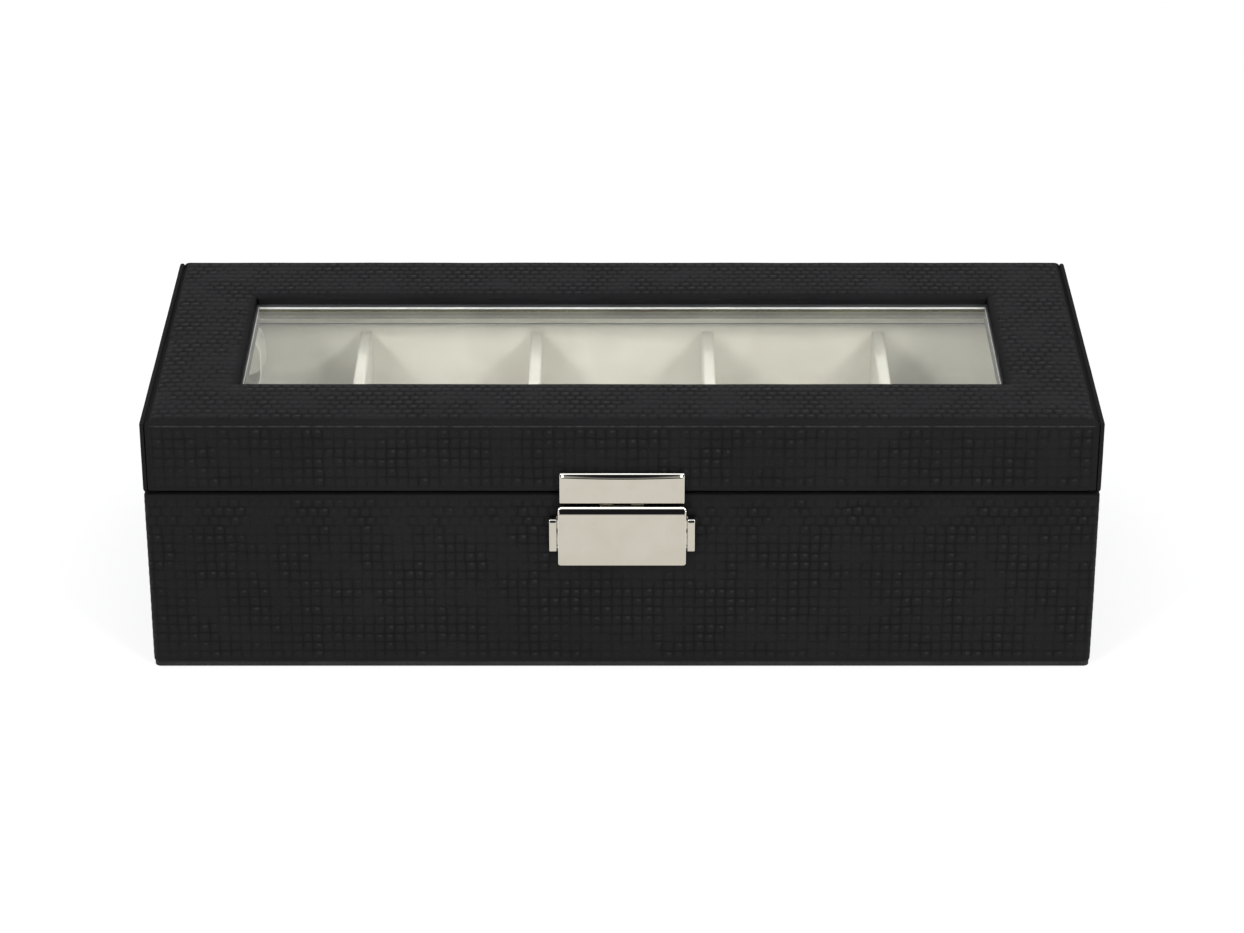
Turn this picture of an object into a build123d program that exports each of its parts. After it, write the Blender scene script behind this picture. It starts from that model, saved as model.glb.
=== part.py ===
from build123d import *

import os

# Five-compartment watch display box. Millimetres. The origin is the middle of the underside,
# +X is to the right, +Y is towards the hinges and +Z is up.

# Outside of the case
box_width = 300.0
box_depth = 124.0
base_height = 61.6
shut_line = 1.2
lid_height = 24.6
corner_radius = 2.0
top_edge_radius = 1.5

# Covering
leather = 0.8
end_skin = 1.5
end_groove = 1.0
pad_thickness = 1.0

# Case boards
base_wall = 4.0
lid_wall = 3.4
floor_board = 3.0
underside = 1.6
underside_inset = 0.3
top_panel = 1.6

# Velvet-covered cards
base_lining = 2.2
lid_lining = 1.5
floor_lining = 2.0
lip_height = 3.5
lip_clearance = 1.5

# Compartments
compartment_count = 5
divider_thickness = 4.0
divider_drop = 1.7
pillow_side_gap = 1.0
pillow_depth = 86.0
pillow_height = 36.0
pillow_round = 15.0
pillow_end_round = 5.0
pillow_floor_gap = 0.2

# Window
window_border = 28.5
glass_thickness = 2.0
glass_overlap = 5.0
glass_clearance = 0.2
liner_ledge = 1.0
liner_lip = 3.4

# Flip catch
catch_width = 39.3
catch_height = 10.4
catch_depth = 2.5
catch_overhang = 3.1
catch_wall = 1.0
tongue_width = 14.0
tongue_drop = 3.6
tongue_thickness = 0.55
skin_clearance = 0.35
catch_gap = 0.8
lever_width = 40.4
lever_height = 20.3
lever_depth = 4.2
lever_wall = 1.0
lever_flange = 0.8
hook_clearance = 0.6
lever_toe_depth = 1.5
lever_round = 0.5
ear_width = 2.5
ear_gap = 0.25
ear_height = 11.2
ear_depth = 3.2
plate_thickness = 0.8
pivot_radius = 0.6
pivot_front_gap = 0.5
pivot_boss = 1.0
boss_clearance = 0.4
running_clearance = 0.05
seat_clearance = 0.02
nail_radius = 0.5
nail_head_radius = 1.0
nail_head = 0.4
nail_length = 4.0
nail_spread = 12.0
nail_rise = 2.6
stud_radius = 0.8
stud_depth = 3.7
stud_spread = 13.0
fixing_clearance = 0.05
spring_thickness = 0.3
spring_width = 6.0
spring_foot = 3.0
spring_tip_gap = 0.2
spring_fall = 3.4
spring_offset = 1.2

# Hinges
hinge_spread = 90.0
hinge_length = 24.0
hinge_leaf = 0.8
hinge_leaf_height = 12.0
hinge_back = 2.1
knuckle_radius = 1.75
knuckle_middle = 8.0
knuckle_gap = 0.3
hinge_pin_radius = 0.8
hinge_pin_head = 0.6
hinge_pin_head_radius = 1.2
screw_radius = 0.7
screw_head_radius = 1.5
screw_head = 0.6
screw_length = 3.8
screw_spread = 7.0

# Lid stay
ribbon_width = 14.0
ribbon_thickness = 0.5
ribbon_middle_y = 37.0
ribbon_bulge = 24.75
ribbon_base_tab = 15.0
ribbon_neck = 4.0
ribbon_slack_low = 11.5
ribbon_slack_drop = 4.2
ribbon_shoulder_low = 8.0
ribbon_shoulder_drop = 8.7
ribbon_lid_start = 1.5
ribbon_tab_drop = 2.2
ribbon_fold = 1.5
ribbon_sag = 10.0
ribbon_shoulder = 7.0

# Half sizes of the faces that other pieces line up with
half_x = box_width / 2
half_y = box_depth / 2
board_x = half_x - leather
board_y = half_y - leather
base_inner_x = board_x - base_wall
base_inner_y = board_y - base_wall
room_x = base_inner_x - base_lining
room_y = base_inner_y - base_lining
lid_inner_x = board_x - lid_wall
lid_inner_y = board_y - lid_wall
lid_board_x = half_x - end_skin
lid_room_x = lid_inner_x - lid_lining
lid_room_y = lid_inner_y - lid_lining
window_x = half_x - window_border
window_y = half_y - window_border
inner_radius = corner_radius - leather

# Levels
floor_top = underside + floor_board
lining_floor_top = floor_top + floor_lining
base_board_top = base_height - leather
lip_top = base_height + lip_height
divider_top = lip_top - divider_drop
lid_bottom = base_height + shut_line
lid_board_bottom = lid_bottom + leather
lid_top = lid_bottom + lid_height
pad_top = lid_top - leather
panel_top = pad_top - pad_thickness
glass_top = panel_top - top_panel
glass_bottom = glass_top - glass_thickness
liner_bottom = glass_bottom - liner_lip
lid_lining_bottom = lip_top + lip_clearance

# Catch, lever and hinge places
catch_bottom = lid_bottom - catch_overhang
catch_top = catch_bottom + catch_height
lever_top = catch_bottom - catch_gap
lever_bottom = lever_top - lever_height
pivot_z = (lever_top + lever_bottom) / 2
pivot_y = -half_y - lever_depth + lever_wall + pivot_front_gap + pivot_radius
ear_inner_x = lever_width / 2 + ear_gap
ear_outer_x = ear_inner_x + ear_width
stud_z = (lid_board_bottom + catch_top) / 2
hinge_y = half_y + hinge_back
hinge_z = base_height + shut_line / 2
nail_points = [(x, pivot_z + z) for x in (-nail_spread, nail_spread) for z in (-nail_rise, nail_rise)]
stud_points = [(-stud_spread, stud_z), (stud_spread, stud_z)]
screw_drop = (hinge_leaf_height + knuckle_radius) / 2
screw_x = [side * hinge_spread + offset for side in (-1, 1) for offset in (-screw_spread, screw_spread)]
base_screw_points = [(x, hinge_z - screw_drop) for x in screw_x]
lid_screw_points = [(x, hinge_z + screw_drop) for x in screw_x]

os.makedirs("parts", exist_ok=True)


def keep(piece, name):
    """Label a finished piece and write it as one STEP file."""
    piece.part.label = name
    export_step(piece.part, f"parts/{name}.step")


def slab(x_low, x_high, y_low, y_high, z_low, z_high):
    """A plain rectangular piece between two corners."""
    with BuildPart() as piece:
        with BuildSketch(Plane.XY.offset(z_low)):
            with Locations(((x_low + x_high) / 2, (y_low + y_high) / 2)):
                Rectangle(x_high - x_low, y_high - y_low)
        extrude(amount=z_high - z_low)
    return piece


def long_board(side, half_width, y_outer, thickness, z_low, z_high, corner, points, hole_radius):
    """A front (side -1) or back (side 1) board, drilled through from its outer face."""
    with BuildPart() as piece:
        with BuildSketch(Plane.XY.offset(z_low)) as outline:
            with Locations((0, side * (y_outer - thickness / 2))):
                Rectangle(2 * half_width, thickness)
            if corner > 0:
                outer_corners = outline.vertices().group_by(Axis.Y)[0 if side < 0 else -1]
                fillet(outer_corners, corner)
        extrude(amount=z_high - z_low)
        with BuildSketch(Plane.XZ.offset(-side * y_outer)):
            with Locations(*points):
                Circle(hole_radius)
        extrude(amount=side * thickness, mode=Mode.SUBTRACT)
    return piece


def headed_pins(side, face_y, points, radius, length, head_radius, head):
    """Nails or screws in one node, driven inwards with their heads on the face at face_y."""
    with BuildPart() as pins:
        with BuildSketch(Plane.XZ.offset(-side * face_y)):
            with Locations(*points):
                Circle(radius)
        extrude(amount=side * length)
        if head > 0:
            with BuildSketch(Plane.XZ.offset(-side * face_y)):
                with Locations(*points):
                    Circle(head_radius)
            extrude(amount=-side * head)
    return pins


# ---- Base case -------------------------------------------------------------------------

with BuildPart() as underside_cover:
    with BuildSketch():
        RectangleRounded(box_width - 2 * underside_inset, box_depth - 2 * underside_inset, corner_radius)
    extrude(amount=underside)
keep(underside_cover, "underside_cover")

bottom_board = slab(-base_inner_x, base_inner_x, -base_inner_y, base_inner_y, underside, floor_top)
keep(bottom_board, "base_bottom_board")

nail_hole = nail_radius + fixing_clearance
screw_hole = screw_radius + fixing_clearance
stud_hole = stud_radius + fixing_clearance

base_front_board = long_board(
    -1, board_x, board_y, base_wall, underside, base_board_top, inner_radius, nail_points, nail_hole
)
keep(base_front_board, "base_front_board")

base_back_board = long_board(
    1, board_x, board_y, base_wall, underside, base_board_top, inner_radius, base_screw_points, screw_hole
)
keep(base_back_board, "base_back_board")

for side, word in ((-1, "left"), (1, "right")):
    edges = sorted((side * base_inner_x, side * board_x))
    end_board = slab(edges[0], edges[1], -base_inner_y, base_inner_y, underside, base_board_top)
    keep(end_board, f"base_{word}_board")

# The leather stands round the walls from just above the underside and folds over the rim.
with BuildPart() as base_leather:
    with BuildSketch(Plane.XY.offset(underside)):
        RectangleRounded(box_width, box_depth, corner_radius)
        RectangleRounded(2 * board_x, 2 * board_y, inner_radius, mode=Mode.SUBTRACT)
    extrude(amount=base_board_top - underside)
    with BuildSketch(Plane.XY.offset(base_board_top)):
        RectangleRounded(box_width, box_depth, corner_radius)
        Rectangle(2 * base_inner_x, 2 * base_inner_y, mode=Mode.SUBTRACT)
    extrude(amount=leather)
    with BuildSketch(Plane.XZ.offset(half_y)):
        with Locations(*nail_points):
            Circle(nail_hole)
    extrude(amount=-leather, mode=Mode.SUBTRACT)
    with BuildSketch(Plane.XZ.offset(-half_y)):
        with Locations(*base_screw_points):
            Circle(screw_hole)
    extrude(amount=leather, mode=Mode.SUBTRACT)
keep(base_leather, "base_leather_wrap")

# ---- Base lining and dividers ----------------------------------------------------------

lining_floor = slab(-base_inner_x, base_inner_x, -base_inner_y, base_inner_y, floor_top, lining_floor_top)
keep(lining_floor, "lining_floor")

for side, word in ((-1, "front"), (1, "back")):
    edges = sorted((side * room_y, side * base_inner_y))
    lining = slab(-base_inner_x, base_inner_x, edges[0], edges[1], lining_floor_top, lip_top)
    keep(lining, f"lining_{word}")

for side, word in ((-1, "left"), (1, "right")):
    edges = sorted((side * room_x, side * base_inner_x))
    lining = slab(edges[0], edges[1], -room_y, room_y, lining_floor_top, lip_top)
    keep(lining, f"lining_{word}")

compartment_width = (2 * room_x - (compartment_count - 1) * divider_thickness) / compartment_count
compartment_pitch = compartment_width + divider_thickness

for number in range(1, compartment_count):
    left_face = -room_x + number * compartment_pitch - divider_thickness
    divider = slab(
        left_face, left_face + divider_thickness, -room_y, room_y, lining_floor_top, divider_top
    )
    keep(divider, f"divider_{number}")

pillow_width = compartment_width - 2 * pillow_side_gap
pillow_z = lining_floor_top + pillow_floor_gap + pillow_height / 2

for number in range(1, compartment_count + 1):
    pillow_left = -room_x + (number - 1) * compartment_pitch + pillow_side_gap
    with BuildPart() as pillow:
        with BuildSketch(Plane.YZ.offset(pillow_left)):
            with Locations((0, pillow_z)):
                RectangleRounded(pillow_depth, pillow_height, pillow_round)
        extrude(amount=pillow_width)
        end_faces = pillow.faces().sort_by(Axis.X)
        fillet(end_faces[0].edges() + end_faces[-1].edges(), pillow_end_round)
    keep(pillow, f"pillow_{number}")

# ---- Lid case --------------------------------------------------------------------------

lid_front_board = long_board(
    -1, lid_board_x, board_y, lid_wall, lid_board_bottom, glass_top, 0, stud_points, stud_hole
)
keep(lid_front_board, "lid_front_board")

lid_back_board = long_board(
    1, lid_board_x, board_y, lid_wall, lid_board_bottom, glass_top, 0, lid_screw_points, screw_hole
)
keep(lid_back_board, "lid_back_board")

panel_window_x = window_x + leather
panel_window_y = window_y + leather

with BuildPart() as lid_top_panel:
    with BuildSketch(Plane.XY.offset(glass_top)):
        Rectangle(2 * lid_board_x, 2 * board_y)
        Rectangle(2 * panel_window_x, 2 * panel_window_y, mode=Mode.SUBTRACT)
    extrude(amount=top_panel)
keep(lid_top_panel, "lid_top_panel")

cover_x = lid_board_x - end_groove
pad_y = half_y - top_edge_radius

with BuildPart() as lid_foam_pad:
    with BuildSketch(Plane.XY.offset(panel_top)):
        Rectangle(2 * (cover_x - leather), 2 * pad_y)
        Rectangle(2 * panel_window_x, 2 * panel_window_y, mode=Mode.SUBTRACT)
    extrude(amount=pad_thickness)
keep(lid_foam_pad, "lid_foam_pad")

# The cover is one hide: up the front, over the padded top, down the back, with its lower edges
# turned in under the boards and its window edge turned down to the glass.
with BuildPart() as lid_leather_cover:
    with BuildSketch(Plane.YZ.offset(-lid_board_x)) as outer_section:
        with Locations((0, (lid_bottom + lid_top) / 2)):
            Rectangle(box_depth, lid_height)
        fillet(outer_section.vertices().group_by(Axis.Z)[-1], top_edge_radius)
    extrude(amount=2 * lid_board_x)
    with BuildSketch(Plane.YZ.offset(-lid_board_x)) as inner_section:
        with Locations((0, (lid_board_bottom + panel_top) / 2)):
            Rectangle(2 * board_y, panel_top - lid_board_bottom)
    extrude(amount=2 * lid_board_x, mode=Mode.SUBTRACT)
    with BuildSketch(Plane.XY.offset(panel_top)):
        Rectangle(2 * (cover_x - leather), 2 * pad_y)
    extrude(amount=pad_thickness, mode=Mode.SUBTRACT)
    with BuildSketch(Plane.XY.offset(lid_bottom)):
        Rectangle(2 * lid_board_x, 2 * lid_inner_y)
    extrude(amount=leather, mode=Mode.SUBTRACT)
    groove_middle = (cover_x + lid_board_x) / 2
    with BuildSketch(Plane.XY.offset(panel_top)):
        with Locations((-groove_middle, 0), (groove_middle, 0)):
            Rectangle(end_groove, box_depth)
    extrude(amount=lid_top - panel_top, mode=Mode.SUBTRACT)
    with BuildSketch(Plane.XY.offset(glass_top)):
        Rectangle(2 * panel_window_x, 2 * panel_window_y)
    extrude(amount=lid_top - glass_top)
    with BuildSketch(Plane.XY.offset(glass_top)):
        Rectangle(2 * window_x, 2 * window_y)
    extrude(amount=lid_top - glass_top, mode=Mode.SUBTRACT)
    with BuildSketch(Plane.XZ.offset(half_y)):
        with Locations(*stud_points):
            Circle(stud_hole)
    extrude(amount=-leather, mode=Mode.SUBTRACT)
    with BuildSketch(Plane.XZ.offset(-half_y)):
        with Locations(*lid_screw_points):
            Circle(screw_hole)
    extrude(amount=leather, mode=Mode.SUBTRACT)
keep(lid_leather_cover, "lid_leather_cover")

for side, word in ((-1, "left"), (1, "right")):
    edges = sorted((side * lid_inner_x, side * lid_board_x))
    end_board = slab(edges[0], edges[1], -lid_inner_y, lid_inner_y, lid_board_bottom, glass_top)
    keep(end_board, f"lid_{word}_board")

# The end leathers are flat caps that follow the lid's section and stand as thin rims.
for side, word in ((-1, "left"), (1, "right")):
    face_x = lid_board_x if side > 0 else -half_x
    with BuildPart() as end_leather:
        with BuildSketch(Plane.YZ.offset(face_x)) as section:
            with Locations((0, (lid_bottom + pad_top) / 2)):
                Rectangle(box_depth, pad_top - lid_bottom)
            fillet(section.vertices().group_by(Axis.Y)[0], leather)
            fillet(section.vertices().group_by(Axis.Y)[-1], leather)
        extrude(amount=end_skin)
    keep(end_leather, f"lid_{word}_leather")

# ---- Glass, liner frame and lid lining -------------------------------------------------

glass_x = window_x + glass_overlap
glass_y = window_y + glass_overlap
glass_pane = slab(-glass_x, glass_x, -glass_y, glass_y, glass_bottom, glass_top)
keep(glass_pane, "glass_pane")

with BuildPart() as lid_liner_frame:
    with BuildSketch(Plane.XY.offset(liner_bottom)):
        Rectangle(2 * lid_inner_x, 2 * lid_inner_y)
        Rectangle(2 * (window_x - liner_ledge), 2 * (window_y - liner_ledge), mode=Mode.SUBTRACT)
    extrude(amount=glass_top - liner_bottom)
    with BuildSketch(Plane.XY.offset(glass_bottom)):
        Rectangle(2 * (glass_x + glass_clearance), 2 * (glass_y + glass_clearance))
    extrude(amount=glass_thickness, mode=Mode.SUBTRACT)
keep(lid_liner_frame, "lid_liner_frame")

for side, word in ((-1, "front"), (1, "back")):
    edges = sorted((side * lid_room_y, side * lid_inner_y))
    lining = slab(-lid_inner_x, lid_inner_x, edges[0], edges[1], lid_lining_bottom, liner_bottom)
    keep(lining, f"lid_lining_{word}")

for side, word in ((-1, "left"), (1, "right")):
    edges = sorted((side * lid_room_x, side * lid_inner_x))
    lining = slab(edges[0], edges[1], -lid_room_y, lid_room_y, lid_lining_bottom, liner_bottom)
    keep(lining, f"lid_lining_{word}")

# ---- Catch on the lid ------------------------------------------------------------------

catch_front = -half_y - catch_depth
skin_face = -half_y - skin_clearance
tongue_front = skin_face - tongue_thickness

# The catch is solid where it stands on the lid and hollow behind where it hangs over the base.
with BuildPart() as catch_plate:
    with BuildSketch(Plane.YZ.offset(-catch_width / 2)):
        with BuildLine():
            Polyline(
                (-half_y, catch_top),
                (catch_front, catch_top),
                (catch_front, catch_bottom),
                (skin_face, catch_bottom),
                (skin_face, lid_bottom),
                (-half_y, lid_bottom),
                close=True,
            )
        make_face()
    extrude(amount=catch_width)
    front_face = catch_plate.faces().sort_by(Axis.Y)[0]
    fillet(front_face.edges(), lever_round)
    with BuildSketch(Plane.YZ.offset(-tongue_width / 2)):
        with Locations(((skin_face + tongue_front) / 2, catch_bottom + (catch_wall - tongue_drop) / 2)):
            Rectangle(tongue_thickness, tongue_drop + catch_wall)
    extrude(amount=tongue_width)
keep(catch_plate, "catch_plate")

catch_studs = headed_pins(-1, half_y, stud_points, stud_radius, stud_depth, 0, 0)
keep(catch_studs, "catch_studs")

# ---- Lever and its mount on the base ---------------------------------------------------

plate_front = half_y + plate_thickness
slot_inner_x = lever_width / 2 - lever_flange - boss_clearance
pivot_hole = pivot_radius + running_clearance

with BuildPart() as latch_mount:
    with BuildSketch(Plane.XZ.offset(half_y)):
        with Locations((0, pivot_z)):
            Rectangle(2 * ear_outer_x, ear_height)
    extrude(amount=plate_thickness)
    with BuildSketch(Plane.XZ.offset(half_y)):
        with Locations(*[(side * (ear_inner_x + ear_outer_x) / 2, pivot_z) for side in (-1, 1)]):
            Rectangle(ear_width, ear_height)
    extrude(amount=ear_depth)
    ear_fronts = latch_mount.faces().filter_by(Axis.Y).group_by(Axis.Y)[0]
    fillet(ear_fronts.edges(), lever_round / 2)
    with BuildSketch(Plane.XZ.offset(plate_front)):
        with Locations(*nail_points):
            Circle(nail_hole)
        with Locations(*[(side * (slot_inner_x + ear_inner_x) / 2, pivot_z) for side in (-1, 1)]):
            Rectangle(ear_inner_x - slot_inner_x, 2 * (pivot_boss + boss_clearance))
    extrude(amount=-plate_thickness, mode=Mode.SUBTRACT)
    with BuildSketch(Plane.YZ.offset(-ear_outer_x + lever_flange)):
        with Locations((pivot_y, pivot_z)):
            Circle(pivot_radius + seat_clearance)
    extrude(amount=2 * (ear_outer_x - lever_flange), mode=Mode.SUBTRACT)
keep(latch_mount, "latch_mount_plate")

with BuildPart() as latch_pin:
    with BuildSketch(Plane.YZ.offset(-ear_outer_x + lever_flange + fixing_clearance)):
        with Locations((pivot_y, pivot_z)):
            Circle(pivot_radius)
    extrude(amount=2 * (ear_outer_x - lever_flange - fixing_clearance))
keep(latch_pin, "latch_pivot_pin")

latch_nails = headed_pins(
    -1, plate_front, nail_points, nail_radius, plate_thickness + nail_length, nail_head_radius, nail_head
)
keep(latch_nails, "latch_mount_nails")

lever_front = -half_y - lever_depth
lever_rear = tongue_front - hook_clearance

# The lever is a pressed tray. Its sides narrow towards the toe, which swings in when pressed.
with BuildPart() as latch_lever:
    with BuildSketch(Plane.YZ.offset(-lever_width / 2)):
        with BuildLine():
            Polyline(
                (lever_front, lever_bottom),
                (lever_front, lever_top),
                (lever_rear, lever_top),
                (lever_rear, pivot_z),
                (pivot_y, pivot_z - pivot_boss),
                (lever_front + lever_toe_depth, lever_bottom),
                close=True,
            )
        make_face()
        with Locations((pivot_y, pivot_z)):
            Circle(pivot_boss)
    extrude(amount=lever_width)
    lever_face = latch_lever.faces().filter_by(Axis.Y).sort_by(Axis.Y)[0]
    fillet(lever_face.edges(), lever_round)
    with BuildSketch(Plane.XZ.offset(half_y + lever_depth - lever_wall)):
        with Locations((0, (lever_top + lever_bottom) / 2)):
            Rectangle(lever_width - 2 * lever_flange, lever_height - 2 * lever_flange)
    extrude(amount=-lever_depth, mode=Mode.SUBTRACT)
    with BuildSketch(Plane.YZ.offset(-lever_width / 2)):
        with Locations((pivot_y, pivot_z)):
            Circle(pivot_hole)
    extrude(amount=lever_width, mode=Mode.SUBTRACT)
keep(latch_lever, "latch_lever")

spring_face = -plate_front
spring_tip = lever_front + lever_wall + spring_tip_gap
spring_top = pivot_z - spring_offset
with BuildPart() as latch_spring:
    with BuildSketch(Plane.YZ.offset(-spring_width / 2)):
        with BuildLine():
            Polyline(
                (spring_face, spring_top),
                (spring_face - spring_thickness, spring_top),
                (spring_face - spring_thickness, spring_top - spring_foot),
                (spring_tip, spring_top - spring_foot - spring_fall),
                (spring_tip + spring_thickness, spring_top - spring_foot - spring_fall),
                (spring_face, spring_top - spring_foot),
                close=True,
            )
        make_face()
    extrude(amount=spring_width)
keep(latch_spring, "latch_spring")

# ---- Hinges ----------------------------------------------------------------------------


def hinge_leaf_piece(centre_x, direction):
    """One leaf with its knuckles: direction -1 goes down on the base, 1 goes up on the lid."""
    start_x = centre_x - hinge_length / 2
    far_z = hinge_z + direction * hinge_leaf_height
    bore = hinge_pin_radius + (seat_clearance if direction < 0 else running_clearance)
    inner_half = knuckle_middle / 2
    points = base_screw_points if direction < 0 else lid_screw_points
    near = [point for point in points if abs(point[0] - centre_x) < hinge_length / 2]
    clear = knuckle_radius + knuckle_gap
    with BuildPart() as leaf:
        with BuildSketch(Plane.YZ.offset(start_x)):
            with Locations((half_y + hinge_leaf / 2, (far_z + hinge_z) / 2)):
                Rectangle(hinge_leaf, hinge_leaf_height)
            with Locations((hinge_y, hinge_z)):
                Circle(knuckle_radius)
            with Locations((hinge_y, hinge_z)):
                Circle(bore, mode=Mode.SUBTRACT)
        extrude(amount=hinge_length)
        if direction < 0:
            gaps = [(centre_x, knuckle_middle + 2 * knuckle_gap)]
        else:
            outer_width = hinge_length / 2 - inner_half
            gaps = [(centre_x + side * (inner_half + outer_width / 2), outer_width) for side in (-1, 1)]
        for middle, width in gaps:
            with BuildSketch(Plane.XY.offset(hinge_z - clear)):
                with Locations((middle, half_y + clear + hinge_back / 2)):
                    Rectangle(width, 2 * clear + hinge_back)
            extrude(amount=2 * clear, mode=Mode.SUBTRACT)
        with BuildSketch(Plane.XZ.offset(-half_y - hinge_leaf)):
            with Locations(*near):
                Circle(screw_hole)
        extrude(amount=hinge_leaf, mode=Mode.SUBTRACT)
    return leaf


for side, word in ((-1, "left"), (1, "right")):
    keep(hinge_leaf_piece(side * hinge_spread, -1), f"hinge_{word}_base_leaf")
    keep(hinge_leaf_piece(side * hinge_spread, 1), f"hinge_{word}_lid_leaf")
    pin_start = side * hinge_spread - hinge_length / 2
    with BuildPart() as hinge_pin:
        with BuildSketch(Plane.YZ.offset(pin_start)):
            with Locations((hinge_y, hinge_z)):
                Circle(hinge_pin_radius)
        extrude(amount=hinge_length)
        for head_start in (pin_start - hinge_pin_head, pin_start + hinge_length):
            with BuildSketch(Plane.YZ.offset(head_start)):
                with Locations((hinge_y, hinge_z)):
                    Circle(hinge_pin_head_radius)
            extrude(amount=hinge_pin_head)
    keep(hinge_pin, f"hinge_{word}_pin")

leaf_face = half_y + hinge_leaf
screw_reach = hinge_leaf + screw_length
base_screws = headed_pins(
    1, leaf_face, base_screw_points, screw_radius, screw_reach, screw_head_radius, screw_head
)
keep(base_screws, "hinge_base_screws")

lid_screws = headed_pins(
    1, leaf_face, lid_screw_points, screw_radius, screw_reach, screw_head_radius, screw_head
)
keep(lid_screws, "hinge_lid_screws")

# ---- Lid stay ribbon -------------------------------------------------------------------

# The ribbon is glued to the lining of the base and of the lid, and its slack loops into the
# end compartment while the lid is shut. Each corner is (distance into the room, height).
ribbon_base_x = -room_x + ribbon_thickness / 2
ribbon_lid_x = -lid_room_x + ribbon_thickness / 2
ribbon_bulge_x = -room_x + ribbon_bulge
ribbon_middle_x = (ribbon_base_x + ribbon_bulge_x) / 2
ribbon_corners = [
    (ribbon_base_x, base_height - ribbon_base_tab),
    (ribbon_base_x, base_height - ribbon_neck),
    (ribbon_middle_x, base_height - ribbon_slack_low),
    (ribbon_bulge_x, base_height - ribbon_shoulder_low),
    (ribbon_bulge_x, liner_bottom - ribbon_shoulder_drop),
    (ribbon_middle_x, liner_bottom - ribbon_slack_drop),
    (ribbon_lid_x, lid_lining_bottom + ribbon_lid_start),
    (ribbon_lid_x, liner_bottom - ribbon_tab_drop),
]
ribbon_bends = [ribbon_fold, ribbon_sag, ribbon_shoulder, ribbon_shoulder, ribbon_sag, ribbon_fold]
with BuildPart() as lid_stay_ribbon:
    with BuildSketch(Plane.XZ.offset(-ribbon_middle_y - ribbon_width / 2)):
        with BuildLine():
            ribbon_path = FilletPolyline(*ribbon_corners, radius=ribbon_bends)
        trace(line_width=ribbon_thickness)
    extrude(amount=ribbon_width)
keep(lid_stay_ribbon, "lid_stay_ribbon")
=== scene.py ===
"""Finished pieces and studio for a five-compartment watch display box."""

from __future__ import annotations

import logging
import math
from dataclasses import dataclass, field
from enum import Enum
from typing import Any, Callable, Sequence

import bmesh
import bpy
import numpy as np
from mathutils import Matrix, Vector
from mathutils.bvhtree import BVHTree


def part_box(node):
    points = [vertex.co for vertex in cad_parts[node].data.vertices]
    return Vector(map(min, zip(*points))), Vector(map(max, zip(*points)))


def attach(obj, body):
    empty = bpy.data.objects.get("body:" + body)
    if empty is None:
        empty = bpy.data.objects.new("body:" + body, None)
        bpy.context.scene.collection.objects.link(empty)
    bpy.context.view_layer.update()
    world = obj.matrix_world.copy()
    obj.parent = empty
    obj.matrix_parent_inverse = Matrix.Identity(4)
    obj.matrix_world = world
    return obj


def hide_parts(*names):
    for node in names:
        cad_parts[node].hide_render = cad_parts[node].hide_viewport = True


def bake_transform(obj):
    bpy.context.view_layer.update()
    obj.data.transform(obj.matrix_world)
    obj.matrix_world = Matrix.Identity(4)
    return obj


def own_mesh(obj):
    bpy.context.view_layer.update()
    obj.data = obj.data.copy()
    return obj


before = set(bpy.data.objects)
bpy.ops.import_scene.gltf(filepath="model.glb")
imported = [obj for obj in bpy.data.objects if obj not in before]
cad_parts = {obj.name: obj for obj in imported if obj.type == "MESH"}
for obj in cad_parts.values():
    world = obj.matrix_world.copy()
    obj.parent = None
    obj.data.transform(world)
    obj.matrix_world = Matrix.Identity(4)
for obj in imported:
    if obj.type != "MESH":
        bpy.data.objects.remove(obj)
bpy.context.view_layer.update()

log = logging.getLogger("watch_box")

MM = 0.001
STEPS = 4  # points across one stud
HEAD_REACH = 3.5  # millimetres within which points belong to one head
TOP_ROW = 15.0  # studs in rows above this one lie on the lid's top and are staggered


class Side(Enum):
    """The two ends of the box."""

    LEFT = -1
    RIGHT = 1


def span(node: str) -> tuple[np.ndarray, np.ndarray]:
    """Give a frame node's corners in millimetres.

    Args:
        node: The node's name.

    Returns:
        The lowest and the highest corner.
    """
    low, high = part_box(node)
    return np.array(low) * 1000.0, np.array(high) * 1000.0


# ---- Mesh building ---------------------------------------------------------------------


def place_mesh(name: str, mesh: bpy.types.Mesh) -> bpy.types.Object:
    """Put a mesh in the scene as an object at the origin.

    Args:
        name: The object's name.
        mesh: The mesh, already in place.

    Returns:
        The new object.
    """
    piece = bpy.data.objects.new(name, mesh)
    bpy.context.scene.collection.objects.link(piece)
    return piece


def mesh_from(name: str, points: np.ndarray, faces: Sequence[Sequence[int]]) -> bpy.types.Mesh:
    """Make a smooth mesh from points in millimetres.

    Args:
        name: The mesh's name.
        points: One row of x, y and z for each vertex.
        faces: Vertex numbers, round each face.

    Returns:
        The mesh.
    """
    mesh = bpy.data.meshes.new(name)
    mesh.from_pydata((np.asarray(points, float) * MM).tolist(), [], [list(map(int, f)) for f in faces])
    mesh.polygons.foreach_set("use_smooth", [True] * len(mesh.polygons))
    mesh.update()
    return mesh


def face_outward(mesh: bpy.types.Mesh, inward: Callable[[bmesh.types.BMFaceSeq], bool]) -> None:
    """Make a closed mesh's faces agree and look outward.

    Args:
        mesh: The mesh to turn.
        inward: Says whether its faces, once they agree, look inward.
    """
    work = bmesh.new()
    work.from_mesh(mesh)
    bmesh.ops.recalc_face_normals(work, faces=work.faces)
    work.faces.ensure_lookup_table()
    if inward(work.faces):
        bmesh.ops.reverse_faces(work, faces=work.faces)
    work.to_mesh(mesh)
    work.free()


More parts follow.
